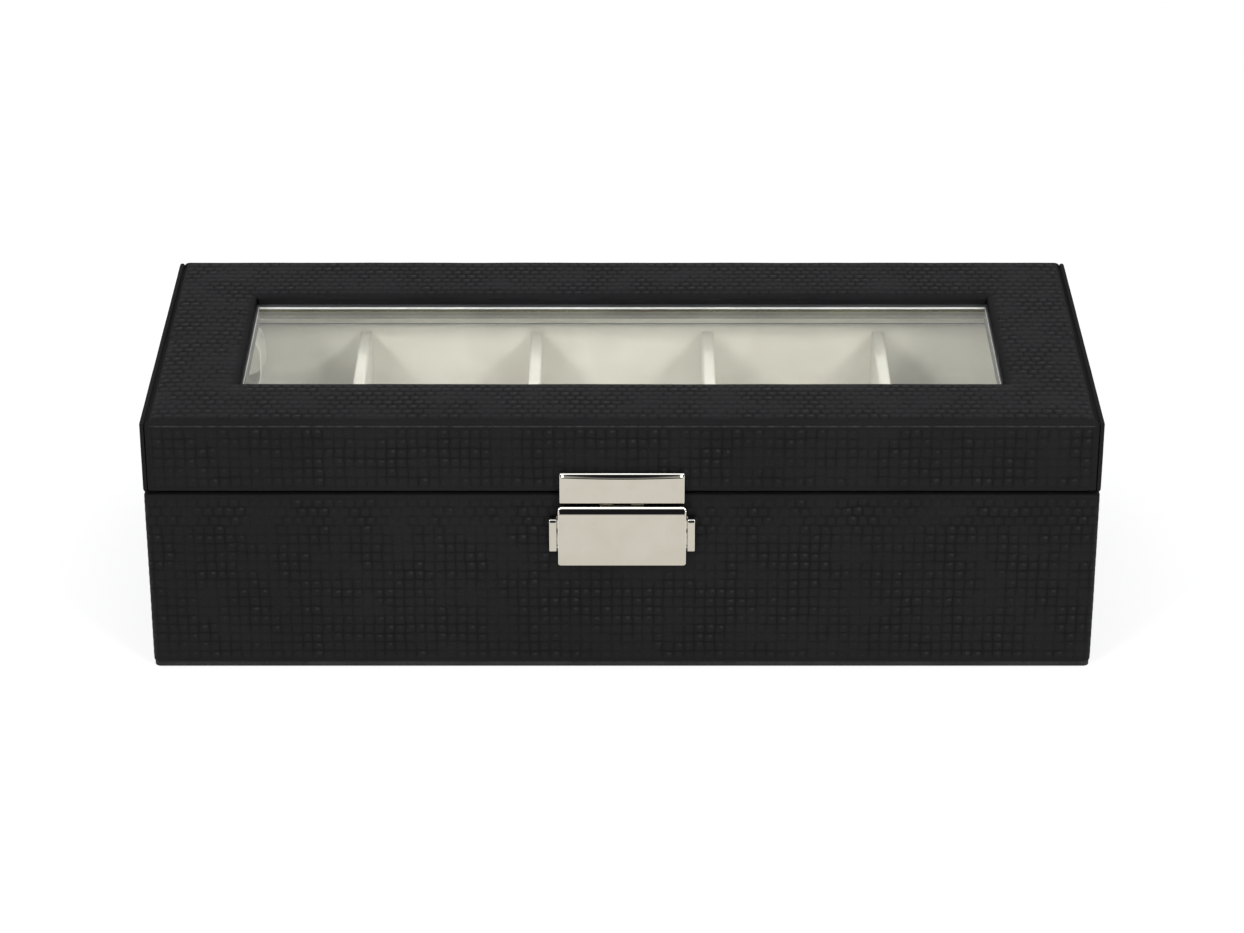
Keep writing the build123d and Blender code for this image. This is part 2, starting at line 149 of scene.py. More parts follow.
@dataclass
class SkinGrid:
    """A sheet of leather as rows and columns of points, with its stud cells."""

    places: np.ndarray
    cells: np.ndarray
    closed: bool = False
    flipped: bool = False
    skip: Callable[[np.ndarray], np.ndarray] | None = None

    def build(self, name: str) -> bpy.types.Object:
        """Make the sheet.

        Args:
            name: The object's name.

        Returns:
            An object whose points carry a cell place and a stud strength.
        """
        rows, columns = self.places.shape[:2]
        across = columns if self.closed else columns - 1
        r, c = np.meshgrid(np.arange(rows - 1), np.arange(across), indexing="ij")
        after = (c + 1) % columns
        quads = np.stack(
            [r * columns + c, r * columns + after, (r + 1) * columns + after, (r + 1) * columns + c], -1
        )
        quads = quads.reshape(-1, 4)
        flat = self.places.reshape(-1, 3)
        data = self.cells.reshape(-1, 3)
        if self.skip is not None:
            quads = quads[~self.skip(flat[quads].mean(1))]
        corner = data[quads][:, :, :2].copy()
        if self.closed:
            turn = float(data[:, 0].max()) + 1.0 / STEPS
            last = (quads[:, 1] % columns == 0) & (quads[:, 0] % columns == columns - 1)
            corner[last, 1, 0] += turn
            corner[last, 2, 0] += turn
        used, numbered = np.unique(quads, return_inverse=True)
        quads = numbered.reshape(-1, 4)
        if self.flipped:
            quads = quads[:, ::-1]
            corner = corner[:, ::-1]
        mesh = bpy.data.meshes.new(name)
        mesh.vertices.add(len(used))
        mesh.vertices.foreach_set("co", (flat[used] * MM).astype(np.float32).ravel())
        mesh.loops.add(quads.size)
        mesh.loops.foreach_set("vertex_index", quads.astype(np.int32).ravel())
        mesh.polygons.add(len(quads))
        mesh.polygons.foreach_set("loop_start", np.arange(0, quads.size, 4, dtype=np.int32))
        mesh.polygons.foreach_set("use_smooth", [True] * len(quads))
        mesh.update(calc_edges=True)
        uv = mesh.uv_layers.new(name="cells")
        uv.data.foreach_set("uv", corner.astype(np.float32).ravel())
        place = mesh.attributes.new("cell", "FLOAT_VECTOR", "POINT")
        place.data.foreach_set("vector", data[used].astype(np.float32).ravel())
        stud = mesh.attributes.new("stud", "FLOAT", "POINT")
        stud.data.foreach_set("value", data[used, 2].astype(np.float32))
        mesh.validate()
        return place_mesh(name, mesh)


def roll_border(
    piece: bpy.types.Object,
    chosen: Callable[[Vector], bool],
    outward: Callable[[Vector], Vector],
    down: Vector,
    steps: Sequence[tuple[float, float]],
) -> None:
    """Turn an open edge of a sheet over in several small steps.

    Args:
        piece: The sheet's object.
        chosen: Whether an edge whose middle is here, in millimetres, is turned.
        outward: The way the edge first goes, at a point in millimetres.
        down: The way that the edge ends up facing.
        steps: How far out and down each new line of points lies, in millimetres.
    """
    mesh = piece.data
    work = bmesh.new()
    work.from_mesh(mesh)
    stud = work.verts.layers.float.get("stud")
    edges = [
        e
        for e in work.edges
        if len(e.link_faces) == 1 and chosen((e.verts[0].co + e.verts[1].co) / 2 / MM)
    ]
    start = {v: v.co.copy() for e in edges for v in e.verts}
    for out, drop in steps:
        made = bmesh.ops.extrude_edge_only(work, edges=edges)["geom"]
        fresh = [v for v in made if isinstance(v, bmesh.types.BMVert)]
        edges = [
            e for e in made if isinstance(e, bmesh.types.BMEdge) and all(v in set(e.verts) for v in e.verts)
        ]
        edges = [e for e in edges if len(e.link_faces) == 1 and e.verts[0] in fresh and e.verts[1] in fresh]
        following: dict[Any, Vector] = {}
        lookup = {tuple(round(t, 7) for t in v.co): v for v in start}
        for v in fresh:
            old = lookup[tuple(round(t, 7) for t in v.co)]
            first = start[old]
            following[v] = first
        for v, first in following.items():
            v.co = first + (outward(first / MM) * out + down * drop) * MM
            if stud is not None:
                v[stud] = 0.0
        start = following
    for face in work.faces:
        face.smooth = True
    work.to_mesh(mesh)
    work.free()
    mesh.update()


def soft_block(
    name: str, low: Sequence[
        float
    ], high: Sequence[float], radius: float = 0.6, crown: float = 0.08, segments: int = 4
) -> bpy.types.Mesh:
    """Make a card or block with rounded edges and slightly full faces.

    Args:
        name: The mesh's name.
        low: The lowest corner, in millimetres.
        high: The highest corner, in millimetres.
        radius: The rounding of the edges.
        crown: How full the faces are.
        segments: How many strips round each edge.

    Returns:
        The mesh, in place.
    """
    size = np.array(high, float) - np.array(low, float)
    middle = (np.array(high, float) + np.array(low, float)) / 2
    radius = min(radius, float(size.min()) * 0.45)
    work = bmesh.new()
    bmesh.ops.create_cube(work, size=1.0)
    for v in work.verts:
        v.co = Vector(middle + np.array(v.co) * size)
    bmesh.ops.bevel(
        work, geom=list(work.edges), offset=radius, segments=segments, profile=0.5, affect="EDGES"
    )
    work.faces.ensure_lookup_table()
    large = sorted(work.faces, key=lambda f: -f.calc_area())[:6]
    room = min(sorted(size)[1] * 0.3, 2.0)
    for face in large:
        width = min((face.edges[0].calc_length(), face.edges[1].calc_length()))
        bmesh.ops.inset_individual(work, faces=[face], thickness=min(room, width * 0.3), depth=crown * 0.5)
    for face in work.faces:
        face.smooth = True
    for v in work.verts:
        v.co = Vector(np.clip(np.array(v.co), low, high)) * MM
    bmesh.ops.recalc_face_normals(work, faces=work.faces)
    mesh = bpy.data.meshes.new(name)
    work.to_mesh(mesh)
    work.free()
    return mesh


def settled_mesh(piece: bpy.types.Object) -> bpy.types.Mesh:
    """Give a piece's mesh as its modifiers leave it, with every layer."""
    graph = bpy.context.evaluated_depsgraph_get()
    return bpy.data.meshes.new_from_object(
        piece.evaluated_get(graph), preserve_all_data_layers=True, depsgraph=graph
    )


def joined(name: str, meshes: Sequence[bpy.types.Mesh]) -> bpy.types.Mesh:
    """Put several meshes into one.

    Args:
        name: The new mesh's name.
        meshes: The meshes.

    Returns:
        The new mesh.
    """
    work = bmesh.new()
    for mesh in meshes:
        work.from_mesh(mesh)
    result = bpy.data.meshes.new(name)
    work.to_mesh(result)
    work.free()
    return result


def frame_ring(
    name: str, half_x: float, half_y: float, section: Sequence[tuple[float, float]]
) -> bpy.types.Mesh:
    """Sweep a closed section round a mitred rectangle.

    Args:
        name: The mesh's name.
        half_x: Half the outer length, in millimetres.
        half_y: Half the outer depth.
        section: Points of inset and height, in order round the section.

    Returns:
        The mesh.
    """
    along = np.linspace(-1, 1, 13)
    ring: list[tuple[float, float]] = []
    for x, y in ((1, -1), (1, 1), (-1, 1), (-1, -1)):
        before = {(1, -1): (-1, -1), (1, 1): (1, -1), (-1, 1): (1, 1), (-1, -1): (-1, 1)}[(x, y)]
        for t in along[1:]:
            k = (t + 1) / 2
            ring.append((before[0] + (x - before[0]) * k, before[1] + (y - before[1]) * k))
    points = [(a * (half_x - inset), b * (half_y - inset), z) for inset, z in section for a, b in ring]
    count, rows = len(ring), len(section)
    faces = [
        (
            r * count + c,
            r * count + (c + 1) % count,
            ((r + 1) % rows) * count + (c + 1) % count,
            ((r + 1) % rows) * count + c,
        )
        for r in range(rows)
        for c in range(count)
    ]
    mesh = mesh_from(name, np.array(points), faces)
    work = bmesh.new()
    work.from_mesh(mesh)
    bmesh.ops.recalc_face_normals(work, faces=work.faces)
    work.to_mesh(mesh)
    work.free()
    return mesh


def rounded_path(
    corners: Sequence[tuple[float, float]], bends: Sequence[float], arc_steps: int = 10, run: float = 1.5
) -> np.ndarray:
    """Follow straight runs joined by arcs.

    Args:
        corners: The corners of the runs.
        bends: The radius at each inner corner.
        arc_steps: How many steps round each arc.
        run: The longest step along a straight run.

    Returns:
        Points along the path.
    """
    pts = [np.array(p, float) for p in corners]
    made: list[np.ndarray] = [pts[0]]
    for k in range(1, len(pts) - 1):
        a, b, c = pts[k - 1], pts[k], pts[k + 1]
        to_a, to_c = (a - b) / np.linalg.norm(a - b), (c - b) / np.linalg.norm(c - b)
        half = math.acos(max(-1.0, min(1.0, float(to_a @ to_c)))) / 2
        reach = bends[k - 1] / math.tan(half)
        first, last = b + to_a * reach, b + to_c * reach
        centre = b + (to_a + to_c) / np.linalg.norm(to_a + to_c) * (bends[k - 1] / math.sin(half))
        made.append(first)
        u, v = first - centre, last - centre
        sweep = math.acos(max(-1.0, min(1.0, float(u @ v) / (np.linalg.norm(u) * np.linalg.norm(v)))))
        for s in range(1, arc_steps + 1):
            t = s / arc_steps
            w = (math.sin((1 - t) * sweep) * u + math.sin(t * sweep) * v) / math.sin(sweep)
            made.append(centre + w)
    made.append(pts[-1])
    full: list[np.ndarray] = [made[0]]
    for p, q in zip(made, made[1:]):
        count = max(1, math.ceil(float(np.linalg.norm(q - p)) / run))
        full += [p + (q - p) * (s / count) for s in range(1, count + 1)]
    return np.array(full)


# ---- Node graphs -----------------------------------------------------------------------

Feed = Any


class Graph:
    """Short calls for building a node tree."""

    def __init__(self, tree: bpy.types.NodeTree) -> None:
        """Work on one tree."""
        self.tree = tree

    def feed(self, socket: bpy.types.NodeSocket, value: Feed) -> None:
        """Link or set one input.

        Args:
            socket: The input.
            value: A node, an output socket or a constant; None leaves it.
        """
        if value is None:
            return
        if isinstance(value, bpy.types.Node):
            value = value.outputs[0]
        if isinstance(value, bpy.types.NodeSocket):
            self.tree.links.new(value, socket)
        else:
            socket.default_value = value

    def add(self, kind: str, *inputs: Feed, **settings: Any) -> bpy.types.Node:
        """Add a node.

        Args:
            kind: The node's type.
            inputs: What its inputs take, in order.
            settings: The node's own settings.

        Returns:
            The node.
        """
        node = self.tree.nodes.new(kind)
        for key, value in settings.items():
            setattr(node, key, value)
        for number, value in enumerate(inputs):
            self.feed(node.inputs[number], value)
        return node

    def named(self, kind: str, values: dict[str, Feed], **settings: Any) -> bpy.types.Node:
        """Add a node and fill its inputs by name.

        Args:
            kind: The node's type.
            values: What each named input takes.
            settings: The node's own settings.

        Returns:
            The node.
        """
        node = self.add(kind, **settings)
        for key, value in values.items():
            self.feed(node.inputs[key], value)
        return node

    def math(self, operation: str, *inputs: Feed, clamp: bool = False) -> bpy.types.NodeSocket:
        """Add a math node in either kind of tree and give its output.

        Args:
            operation: The sum to do.
            inputs: What feeds it.
            clamp: Whether the answer stays between 0 and 1.

        Returns:
            The answer.
        """
        return self.add("ShaderNodeMath", *inputs, operation=operation, use_clamp=clamp).outputs[0]

    def times(self, first: Feed, second: Feed) -> bpy.types.NodeSocket:
        """Multiply two values."""
        return self.math("MULTIPLY", first, second)

    def plus(self, first: Feed, second: Feed) -> bpy.types.NodeSocket:
        """Add two values."""
        return self.math("ADD", first, second)

    def minus(self, first: Feed, second: Feed) -> bpy.types.NodeSocket:
        """Take the second value from the first."""
        return self.math("SUBTRACT", first, second)

    def scaled(self, value: Feed, factor: Feed, start: Feed) -> bpy.types.NodeSocket:
        """Multiply a value and add to it."""
        return self.math("MULTIPLY_ADD", value, factor, start)

    def ramp(
        self, value: Feed, low: float, high: float, to_low: float = 0.0, to_high: float = 1.0
    ) -> bpy.types.NodeSocket:
        """Map one range smoothly onto another.

        Args:
            value: What is mapped.
            low: The value that gives to_low.
            high: The value that gives to_high.
            to_low: The first result.
            to_high: The last result.

        Returns:
            The mapped value.
        """
        node = self.add(
            "ShaderNodeMapRange", value, low, high, to_low, to_high, interpolation_type="SMOOTHSTEP"
        )
        return node.outputs[0]

    def mix(self, factor: Feed, first: Feed, second: Feed) -> bpy.types.NodeSocket:
        """Mix two colours and give the result.

        Args:
            factor: How much of the second colour shows.
            first: The first colour.
            second: The second colour.

        Returns:
            The mixed colour.
        """
        node = self.add("ShaderNodeMix", data_type="RGBA", clamp_factor=True)
        self.feed(node.inputs[0], factor)
        self.feed(node.inputs[6], first)
        self.feed(node.inputs[7], second)
        return node.outputs[2]

    def noise(
        self, vector: Feed, scale: float, detail: float = 2.0, rough: float = 0.5, warp: float = 0.0
    ) -> bpy.types.NodeSocket:
        """Add a noise texture and give its value.

        Args:
            vector: Where it is looked up.
            scale: How fine it is.
            detail: How many finer layers it has.
            rough: How strong the finer layers are.
            warp: How far it is bent.

        Returns:
            The value.
        """
        node = self.named(
            "ShaderNodeTexNoise",
            {"Vector": vector, "Scale": scale, "Detail": detail, "Roughness": rough, "Distortion": warp},
        )
        return node.outputs[0]


Sockets = Sequence[tuple[str, str, Any]]


def shader_group(
    name: str, inputs: Sockets, outputs: Sequence[str], fill: Callable[[Graph, Any, Any], None]
) -> bpy.types.NodeTree:
    """Build a shader node group once.

    Args:
        name: The group's name.
        inputs: Each input's name, socket type and value.
        outputs: The outputs' names, all plain values.
        fill: Adds the nodes between the group's input and output nodes.

    Returns:
        The group.
    """
    found = bpy.data.node_groups.get(name)
    if found:
        return found
    tree = bpy.data.node_groups.new(name, "ShaderNodeTree")
    for label, kind, value in inputs:
        socket = tree.interface.new_socket(label, in_out="INPUT", socket_type=kind)
        if value is not None:
            socket.default_value = value
    for label in outputs:
        tree.interface.new_socket(label, in_out="OUTPUT", socket_type="NodeSocketFloat")
    graph = Graph(tree)
    fill(graph, graph.add("NodeGroupInput"), graph.add("NodeGroupOutput"))
    return tree


def stud_field() -> bpy.types.NodeTree:
    """Give the group that draws raised square studs in unit cells.

    Returns:
        The group.
    """

    def fill(g: Graph, given: Any, out: Any) -> None:
        """Draw the studs, a painted glint on some of them and painted shade in the grooves between them.

        Args:
            g: The group's graph.
            given: The node that holds its inputs.
            out: The node that holds its outputs.
        """
        split = g.add("ShaderNodeSeparateXYZ", given.outputs["Cell"])
        sway = g.named("ShaderNodeTexNoise", {"Vector": given.outputs["Cell"], "Scale": 0.55, "Detail": 3.0})
        drift = g.add("ShaderNodeSeparateXYZ", sway.outputs["Color"])
        raw_v = g.plus(split.outputs[1], g.scaled(drift.outputs[1], 0.5, -0.25))
        on_top = g.math("GREATER_THAN", split.outputs[1], TOP_ROW)
        odd = g.times(g.math("MODULO", g.math("FLOOR", raw_v), 2.0), g.times(on_top, 0.5))
        raw_u = g.plus(g.plus(split.outputs[0], odd), g.scaled(drift.outputs[0], 0.5, -0.25))
        parts, waves = [], []
        for along in (raw_u, raw_v):
            part = g.math("FRACT", along)
            off = g.math("ABSOLUTE", g.scaled(part, 2.0, -1.0))
            parts.append(part)
            waves.append(g.minus(1.0, g.math("POWER", off, given.outputs["Squareness"])))
        top = g.times(waves[0], waves[1])
        number = g.add("ShaderNodeCombineXYZ", g.math("FLOOR", raw_u), g.math("FLOOR", raw_v), 0.0)
        luck = g.add("ShaderNodeTexWhiteNoise", number, noise_dimensions="2D").outputs[0]
        patch = g.named(
            "ShaderNodeTexNoise",
            {"Vector": given.outputs["Cell"], "Scale": 0.23, "Detail": 4.0, "Roughness": 0.65},
        ).outputs[0]
        # Painted highlight: a round glint spot on the upper part of some studs, where light from above
        # catches them.
        off_u = g.minus(parts[0], g.scaled(luck, 0.3, 0.35))
        off_v = g.times(g.minus(parts[1], 0.7), 1.3)
        far = g.math("SQRT", g.plus(g.times(off_u, off_u), g.times(off_v, off_v)))
        lucky = g.times(g.ramp(luck, 0.25, 0.95), g.ramp(patch, 0.38, 0.62))
        painted_glint = g.times(g.ramp(far, 0.3, 0.06), lucky)
        # Painted shade in the grooves between studs, its strength varied at random in patches.
        wear_and_shade = g.scaled(g.ramp(patch, 0.32, 0.6), 0.75, g.times(luck, 0.25))
        groove = g.times(g.minus(1.0, top), wear_and_shade)
        g.feed(out.inputs["Height"], g.times(g.minus(1.0, groove), given.outputs["Strength"]))
        g.feed(out.inputs["Crest"], g.times(painted_glint, given.outputs["Strength"]))
        g.feed(out.inputs["Groove"], g.times(groove, given.outputs["Strength"]))

    return shader_group(
        "stud_field",
        [
            ("Cell", "NodeSocketVector", None),
            ("Strength", "NodeSocketFloat", 1.0),
            ("Squareness", "NodeSocketFloat", 4.0),
        ],
        ["Height", "Crest", "Groove"],
        fill,
    )


def hide_grain() -> bpy.types.NodeTree:
    """Give the group for fine pores and creases in leather.

    Returns:
        The group.
    """

    def fill(g: Graph, given: Any, out: Any) -> None:
        """Draw the pores and creases.

        Args:
            g: The group's graph.
            given: The node that holds its inputs.
            out: The node that holds its outputs.
        """
        cells = g.named(
            "ShaderNodeTexVoronoi",
            {"Vector": given.outputs["Vector"], "Scale": given.outputs["Scale"]},
            feature="DISTANCE_TO_EDGE",
        )
        fine = g.named(
            "ShaderNodeTexNoise",
            {"Vector": given.outputs["Vector"], "Scale": given.outputs["Scale"], "Detail": 5.0},
        )
        crease = g.ramp(cells.outputs["Distance"], 0.0, 0.22)
        g.feed(out.inputs["Height"], g.scaled(fine.outputs[0], 0.6, g.times(crease, 0.4)))
        g.feed(out.inputs["Tone"], fine.outputs[0])

    return shader_group(
        "hide_grain", [("Vector", "NodeSocketVector", None), ("Scale", "NodeSocketFloat", 900.0)], [
            "Height", "Tone"
        ], fill
    )


def soft_drift() -> bpy.types.NodeTree:
    """Give the group for broad, faint variation over a piece.

    Returns:
        The group.
    """

    def fill(g: Graph, given: Any, out: Any) -> None:
        """Draw the variation.

        Args:
            g: The group's graph.
            given: The node that holds its inputs.
            out: The node that holds its outputs.
        """
        broad = g.named(
            "ShaderNodeTexNoise",
            {
                "Vector": given.outputs["Vector"],
                "Scale": given.outputs["Scale"],
                "Detail": 3.0,
                "Distortion": 0.4,
            },
        )
        g.feed(out.inputs["Tone"], g.ramp(broad.outputs[0], 0.3, 0.7))

    return shader_group(
        "soft_drift",
        [("Vector", "NodeSocketVector", None), ("Scale", "NodeSocketFloat", 20.0)],
        ["Tone"],
        fill,
    )


def fibre_nap() -> bpy.types.NodeTree:
    """Give the group for the short pile of velvet.

    Returns:
        The group.
    """

    def fill(g: Graph, given: Any, out: Any) -> None:
        """Draw the pile and its brushed patches.

        Args:
            g: The group's graph.
            given: The node that holds its inputs.
            out: The node that holds its outputs.
        """
        pile = g.named(
            "ShaderNodeTexNoise",
            {
                "Vector": given.outputs["Vector"],
                "Scale": given.outputs["Scale"],
                "Detail": 4.0,
                "Roughness": 0.7,
            },
        )
        brushed = g.named(
            "ShaderNodeTexNoise",
            {"Vector": given.outputs["Vector"], "Scale": 45.0, "Detail": 3.0, "Distortion": 1.2},
        )
        g.feed(out.inputs["Height"], pile.outputs[0])
        g.feed(out.inputs["Tone"], g.scaled(pile.outputs[0], 0.5, g.times(brushed.outputs[0], 0.5)))

    return shader_group(
        "fibre_nap", [("Vector", "NodeSocketVector", None), ("Scale", "NodeSocketFloat", 2600.0)], [
            "Height", "Tone"
        ], fill
    )


Colour = tuple[float, float, float]


def opaque(colour: Colour) -> tuple[float, float, float, float]:
    """Give a colour with full alpha."""
    return (*colour, 1.0)


class Paint:
    """A material under construction, with its shader and its coordinates."""

    def __init__(self, name: str, **fixed: Any) -> None:
        """Start a material.

        Args:
            name: The material's name.
            fixed: Plain values for the shader's sockets, with _ for a space.
        """
        self.material = bpy.data.materials.new(name)
        self.material.use_nodes = True
        self.material.node_tree.nodes.clear()
        self.g = Graph(self.material.node_tree)
        self.output = self.g.add("ShaderNodeOutputMaterial")
        self.shader = self.g.add("ShaderNodeBsdfPrincipled")
        self.g.feed(self.output.inputs["Surface"], self.shader)
        for key, value in fixed.items():
            self.shader.inputs[key.replace("_", " ")].default_value = value
        self.place = self.g.add("ShaderNodeTexCoord").outputs["Object"]

    def group(self, tree: bpy.types.NodeTree, **values: Feed) -> bpy.types.Node:
        """Place a node group and fill its inputs by name.

        Args:
            tree: The group.
            values: What feeds its inputs, by name.

        Returns:
            The group's node.
        """
        node = self.g.add("ShaderNodeGroup")
        node.node_tree = tree
        for key, value in values.items():
            self.g.feed(node.inputs[key], value)
        return node

    def bump(
        self, height: Feed, distance: float, strength: float = 1.0, under: Feed = None
    ) -> bpy.types.Node:
        """Add a bump node.

        Args:
            height: The height.
            distance: How tall a height of 1 is.
            strength: How strongly it shows.
            under: The normal it lies on.

        Returns:
            The node.
        """
        return self.g.named(
            "ShaderNodeBump", {"Height": height, "Distance": distance, "Strength": strength, "Normal": under}
        )

    def set(self, **values: Feed) -> None:
        """Link or set sockets of the shader by name, with _ for a space.

        Args:
            values: What feeds each socket.
        """
        for key, value in values.items():
            self.g.feed(self.shader.inputs[key.replace("_", " ")], value)


@dataclass(frozen=True)
class LeatherFinish:
    """Black leather embossed with rows of small square studs."""

    name: str = "studded_leather"
    # gap is painted shade for the grooves between studs; glint is a painted highlight on the studs; crease is
    # a painted highlight along the crease under the lid's top edges.
    gap: Colour = (0.0022, 0.0021, 0.0024)
    top: Colour = (0.0058, 0.0057, 0.0063)
    bloom: Colour = (0.0115, 0.0113, 0.0122)
    glint: Colour = (0.021, 0.0207, 0.0222)
    crease: Colour = (0.060, 0.059, 0.062)
    rough_gap: float = 0.72
    rough_top: float = 0.50
    gloss: float = 0.12
    studs: bool = True

    def build(self) -> bpy.types.Material:
        """Build the material.

        Returns:
            The material.
        """
        paint = Paint(self.name, Specular_IOR_Level=self.gloss, Coat_Weight=0.0)
        g = paint.g
        grain = paint.group(hide_grain(), Vector=paint.place, Scale=1500.0)
        drift = paint.group(soft_drift(), Vector=paint.place, Scale=24.0)
        fine = paint.bump(grain.outputs["Height"], 0.00003, 0.55)
        if self.studs:
            cells = g.add("ShaderNodeUVMap", uv_map="cells")
            worked = g.add("ShaderNodeAttribute", attribute_name="stud").outputs["Fac"]
            strength = g.math("MAXIMUM", worked, 0.0)
            # fold marks a painted highlight line, drawn where the stud strength is negative and made wavy
            # with noise.
            fold = g.times(
                g.math("MAXIMUM", g.times(worked, -1.0), 0.0),
                g.ramp(g.noise(paint.place, 420.0, 4.0), 0.2, 0.8),
            )
            studs = paint.group(stud_field(), Cell=cells, Strength=strength, Squareness=3.5)
            raised, painted_glint, groove = (studs.outputs[key] for key in ("Height", "Crest", "Groove"))
            normal: Feed = paint.bump(raised, 0.00009, 0.7, fine)
        else:
            raised, painted_glint, groove, normal, fold = drift.outputs["Tone"], 0.0, 0.0, fine, 0.0
        tone = g.scaled(drift.outputs["Tone"], 0.35, g.ramp(grain.outputs["Tone"], 0.35, 0.75, 0.0, 0.65))
        colour = g.mix(tone, opaque(self.top), opaque(self.bloom))
        # Painted shade in the grooves, a painted glint on the studs and a painted highlight along the crease.
        colour = g.mix(groove, colour, opaque(self.gap))
        colour = g.mix(painted_glint, colour, opaque(self.glint))
        colour = g.mix(fold, colour, opaque(self.crease))
        rough = g.scaled(raised, self.rough_top - self.rough_gap, self.rough_gap)
        rough = g.plus(rough, g.ramp(grain.outputs["Tone"], 0.3, 0.7, -0.05, 0.05))
        rough = g.minus(rough, g.times(painted_glint, 0.12))
        paint.set(Base_Color=colour, Roughness=rough, Normal=normal)
        return paint.material


@dataclass(frozen=True)
class VelvetFinish:
    """Short cream velvet or suede, brushed in soft patches."""

    name: str = "cream_velvet"
    deep: Colour = (0.74, 0.715, 0.615)
    lit: Colour = (0.86, 0.84, 0.745)
    sheen: float = 0.25
    pile: float = 0.00006

    def build(self) -> bpy.types.Material:
        """Build the material.

        Returns:
            The material.
        """
        paint = Paint(
            self.name, Roughness=0.9, Specular_IOR_Level=0.15, Sheen_Weight=self.sheen, Sheen_Roughness=0.45
        )
        nap = paint.group(fibre_nap(), Vector=paint.place, Scale=2400.0)
        drift = paint.group(soft_drift(), Vector=paint.place, Scale=30.0)
        blend = paint.g.scaled(nap.outputs["Tone"], 0.7, paint.g.times(drift.outputs["Tone"], 0.3))
        colour = paint.g.mix(paint.g.ramp(blend, 0.25, 0.7), opaque(self.deep), opaque(self.lit))
        paint.set(Base_Color=colour, Normal=paint.bump(nap.outputs["Height"], self.pile, 0.8))
        return paint.material


@dataclass(frozen=True)
class MetalFinish:
    """Plated metal with faint handling marks."""

    name: str = "bright_plate"
    colour: Colour = (0.545, 0.515, 0.440)
    wear_and_shade: Colour = (0.495, 0.462, 0.385)
    low: float = 0.035
    high: float = 0.075
    brushed: float = 0.0

    def build(self) -> bpy.types.Material:
        """Build the material.

        Returns:
            The material.
        """
        paint = Paint(self.name, Metallic=1.0)
        g = paint.g
        drift = paint.group(soft_drift(), Vector=paint.place, Scale=90.0)
        stretch = g.add(
            "ShaderNodeMapping", paint.place, None, None, (1.0, 1.0, 1.0 if not self.brushed else 0.03)
        )
        marks = g.noise(stretch, 2200.0, 3.0, 0.6)
        smudge = g.ramp(g.noise(paint.place, 420.0, 4.0, 0.65, 0.8), 0.62, 0.74)
        tone = g.scaled(smudge, 0.5, g.times(drift.outputs["Tone"], 0.5))
        rough = g.plus(g.ramp(tone, 0.0, 1.0, self.low, self.high), g.times(marks, 0.02 + self.brushed))
        paint.set(
            Base_Color=g.mix(tone, opaque(self.colour), opaque(self.wear_and_shade)),
            Roughness=rough,
            Normal=paint.bump(marks, 0.000004 + self.brushed * 0.00002, 0.5),
        )
        return paint.material


@dataclass(frozen=True)
class SatinFinish:
    """Woven satin ribbon with fine ribs across its width and a painted highlight along both edges."""

    name: str = "satin_ribbon"
    deep: Colour = (0.66, 0.64, 0.54)
    lit: Colour = (0.95, 0.94, 0.86)

    def build(self) -> bpy.types.Material:
        """Build the material.

        Returns:
            The material.
        """
        paint = Paint(self.name, Specular_IOR_Level=0.45, Sheen_Weight=0.15)
        g = paint.g
        uv = g.add("ShaderNodeUVMap", uv_map="cells")
        split = g.add("ShaderNodeSeparateXYZ", uv)
        rib = g.math("SINE", g.times(split.outputs[0], 2 * math.pi * 2.2))
        thread = g.math("SINE", g.times(split.outputs[1], 2 * math.pi * 3.6))
        woven = g.scaled(g.times(rib, thread), 0.25, g.scaled(rib, 0.25, 0.5))
        grain = g.noise(paint.place, 1800.0, 4.0, 0.7)
        tone = g.scaled(grain, 0.6, g.times(woven, 0.4))
        # Painted highlight: the colour turns near-white towards both edges of the ribbon.
        edge = g.ramp(g.math("ABSOLUTE", g.minus(split.outputs[1], 7.0)), 5.6, 6.5)
        colour = g.mix(g.ramp(tone, 0.3, 0.7), opaque(self.deep), opaque(self.lit))
        paint.set(
            Base_Color=g.mix(edge, colour, opaque((0.97, 0.96, 0.9))),
            Roughness=g.ramp(tone, 0.2, 0.8, 0.55, 0.36),
            Normal=paint.bump(woven, 0.00006, 0.7),
        )
        return paint.material


@dataclass(frozen=True)
class GlassFinish:
    """Clear float glass with a faint green body."""

    name: str = "window_glass"
    colour: Colour = (0.985, 0.99, 0.98)

    def build(self) -> bpy.types.Material:
        """Build the material; it lets the lamps' light through.

        Returns:
            The material.
        """
        paint = Paint(
            self.name, Base_Color=opaque(self.colour), Transmission_Weight=1.0, IOR=1.5, Metallic=0.0
        )
        g = paint.g
        haze = paint.group(soft_drift(), Vector=paint.place, Scale=35.0)
        paint.set(Roughness=g.ramp(haze.outputs["Tone"], 0.0, 1.0, 0.0, 0.012))
        clear = g.add("ShaderNodeBsdfTransparent", opaque((0.95, 0.955, 0.945)))
        shadow = g.add("ShaderNodeLightPath").outputs["Is Shadow Ray"]
        g.feed(paint.output.inputs["Surface"], g.add("ShaderNodeMixShader", shadow, paint.shader, clear))
        return paint.material


@dataclass(frozen=True)
class BoardFinish:
    """Pale fibre board with flecks."""

    name: str = "fibre_board"
    deep: Colour = (0.30, 0.22, 0.14)
    lit: Colour = (0.47, 0.37, 0.25)

    def build(self) -> bpy.types.Material:
        """Build the material.

        Returns:
            The material.
        """
        paint = Paint(self.name, Specular_IOR_Level=0.2)
        g = paint.g
        fleck = g.noise(g.add("ShaderNodeMapping", paint.place, None, None, (1.0, 1.0, 4.0)), 900.0, 5.0, 0.7)
        paint.set(
            Base_Color=g.mix(g.ramp(fleck, 0.3, 0.7), opaque(self.deep), opaque(self.lit)),
            Roughness=g.ramp(fleck, 0.2, 0.8, 0.9, 0.7),
            Normal=paint.bump(fleck, 0.00006, 0.6),
        )
        return paint.material


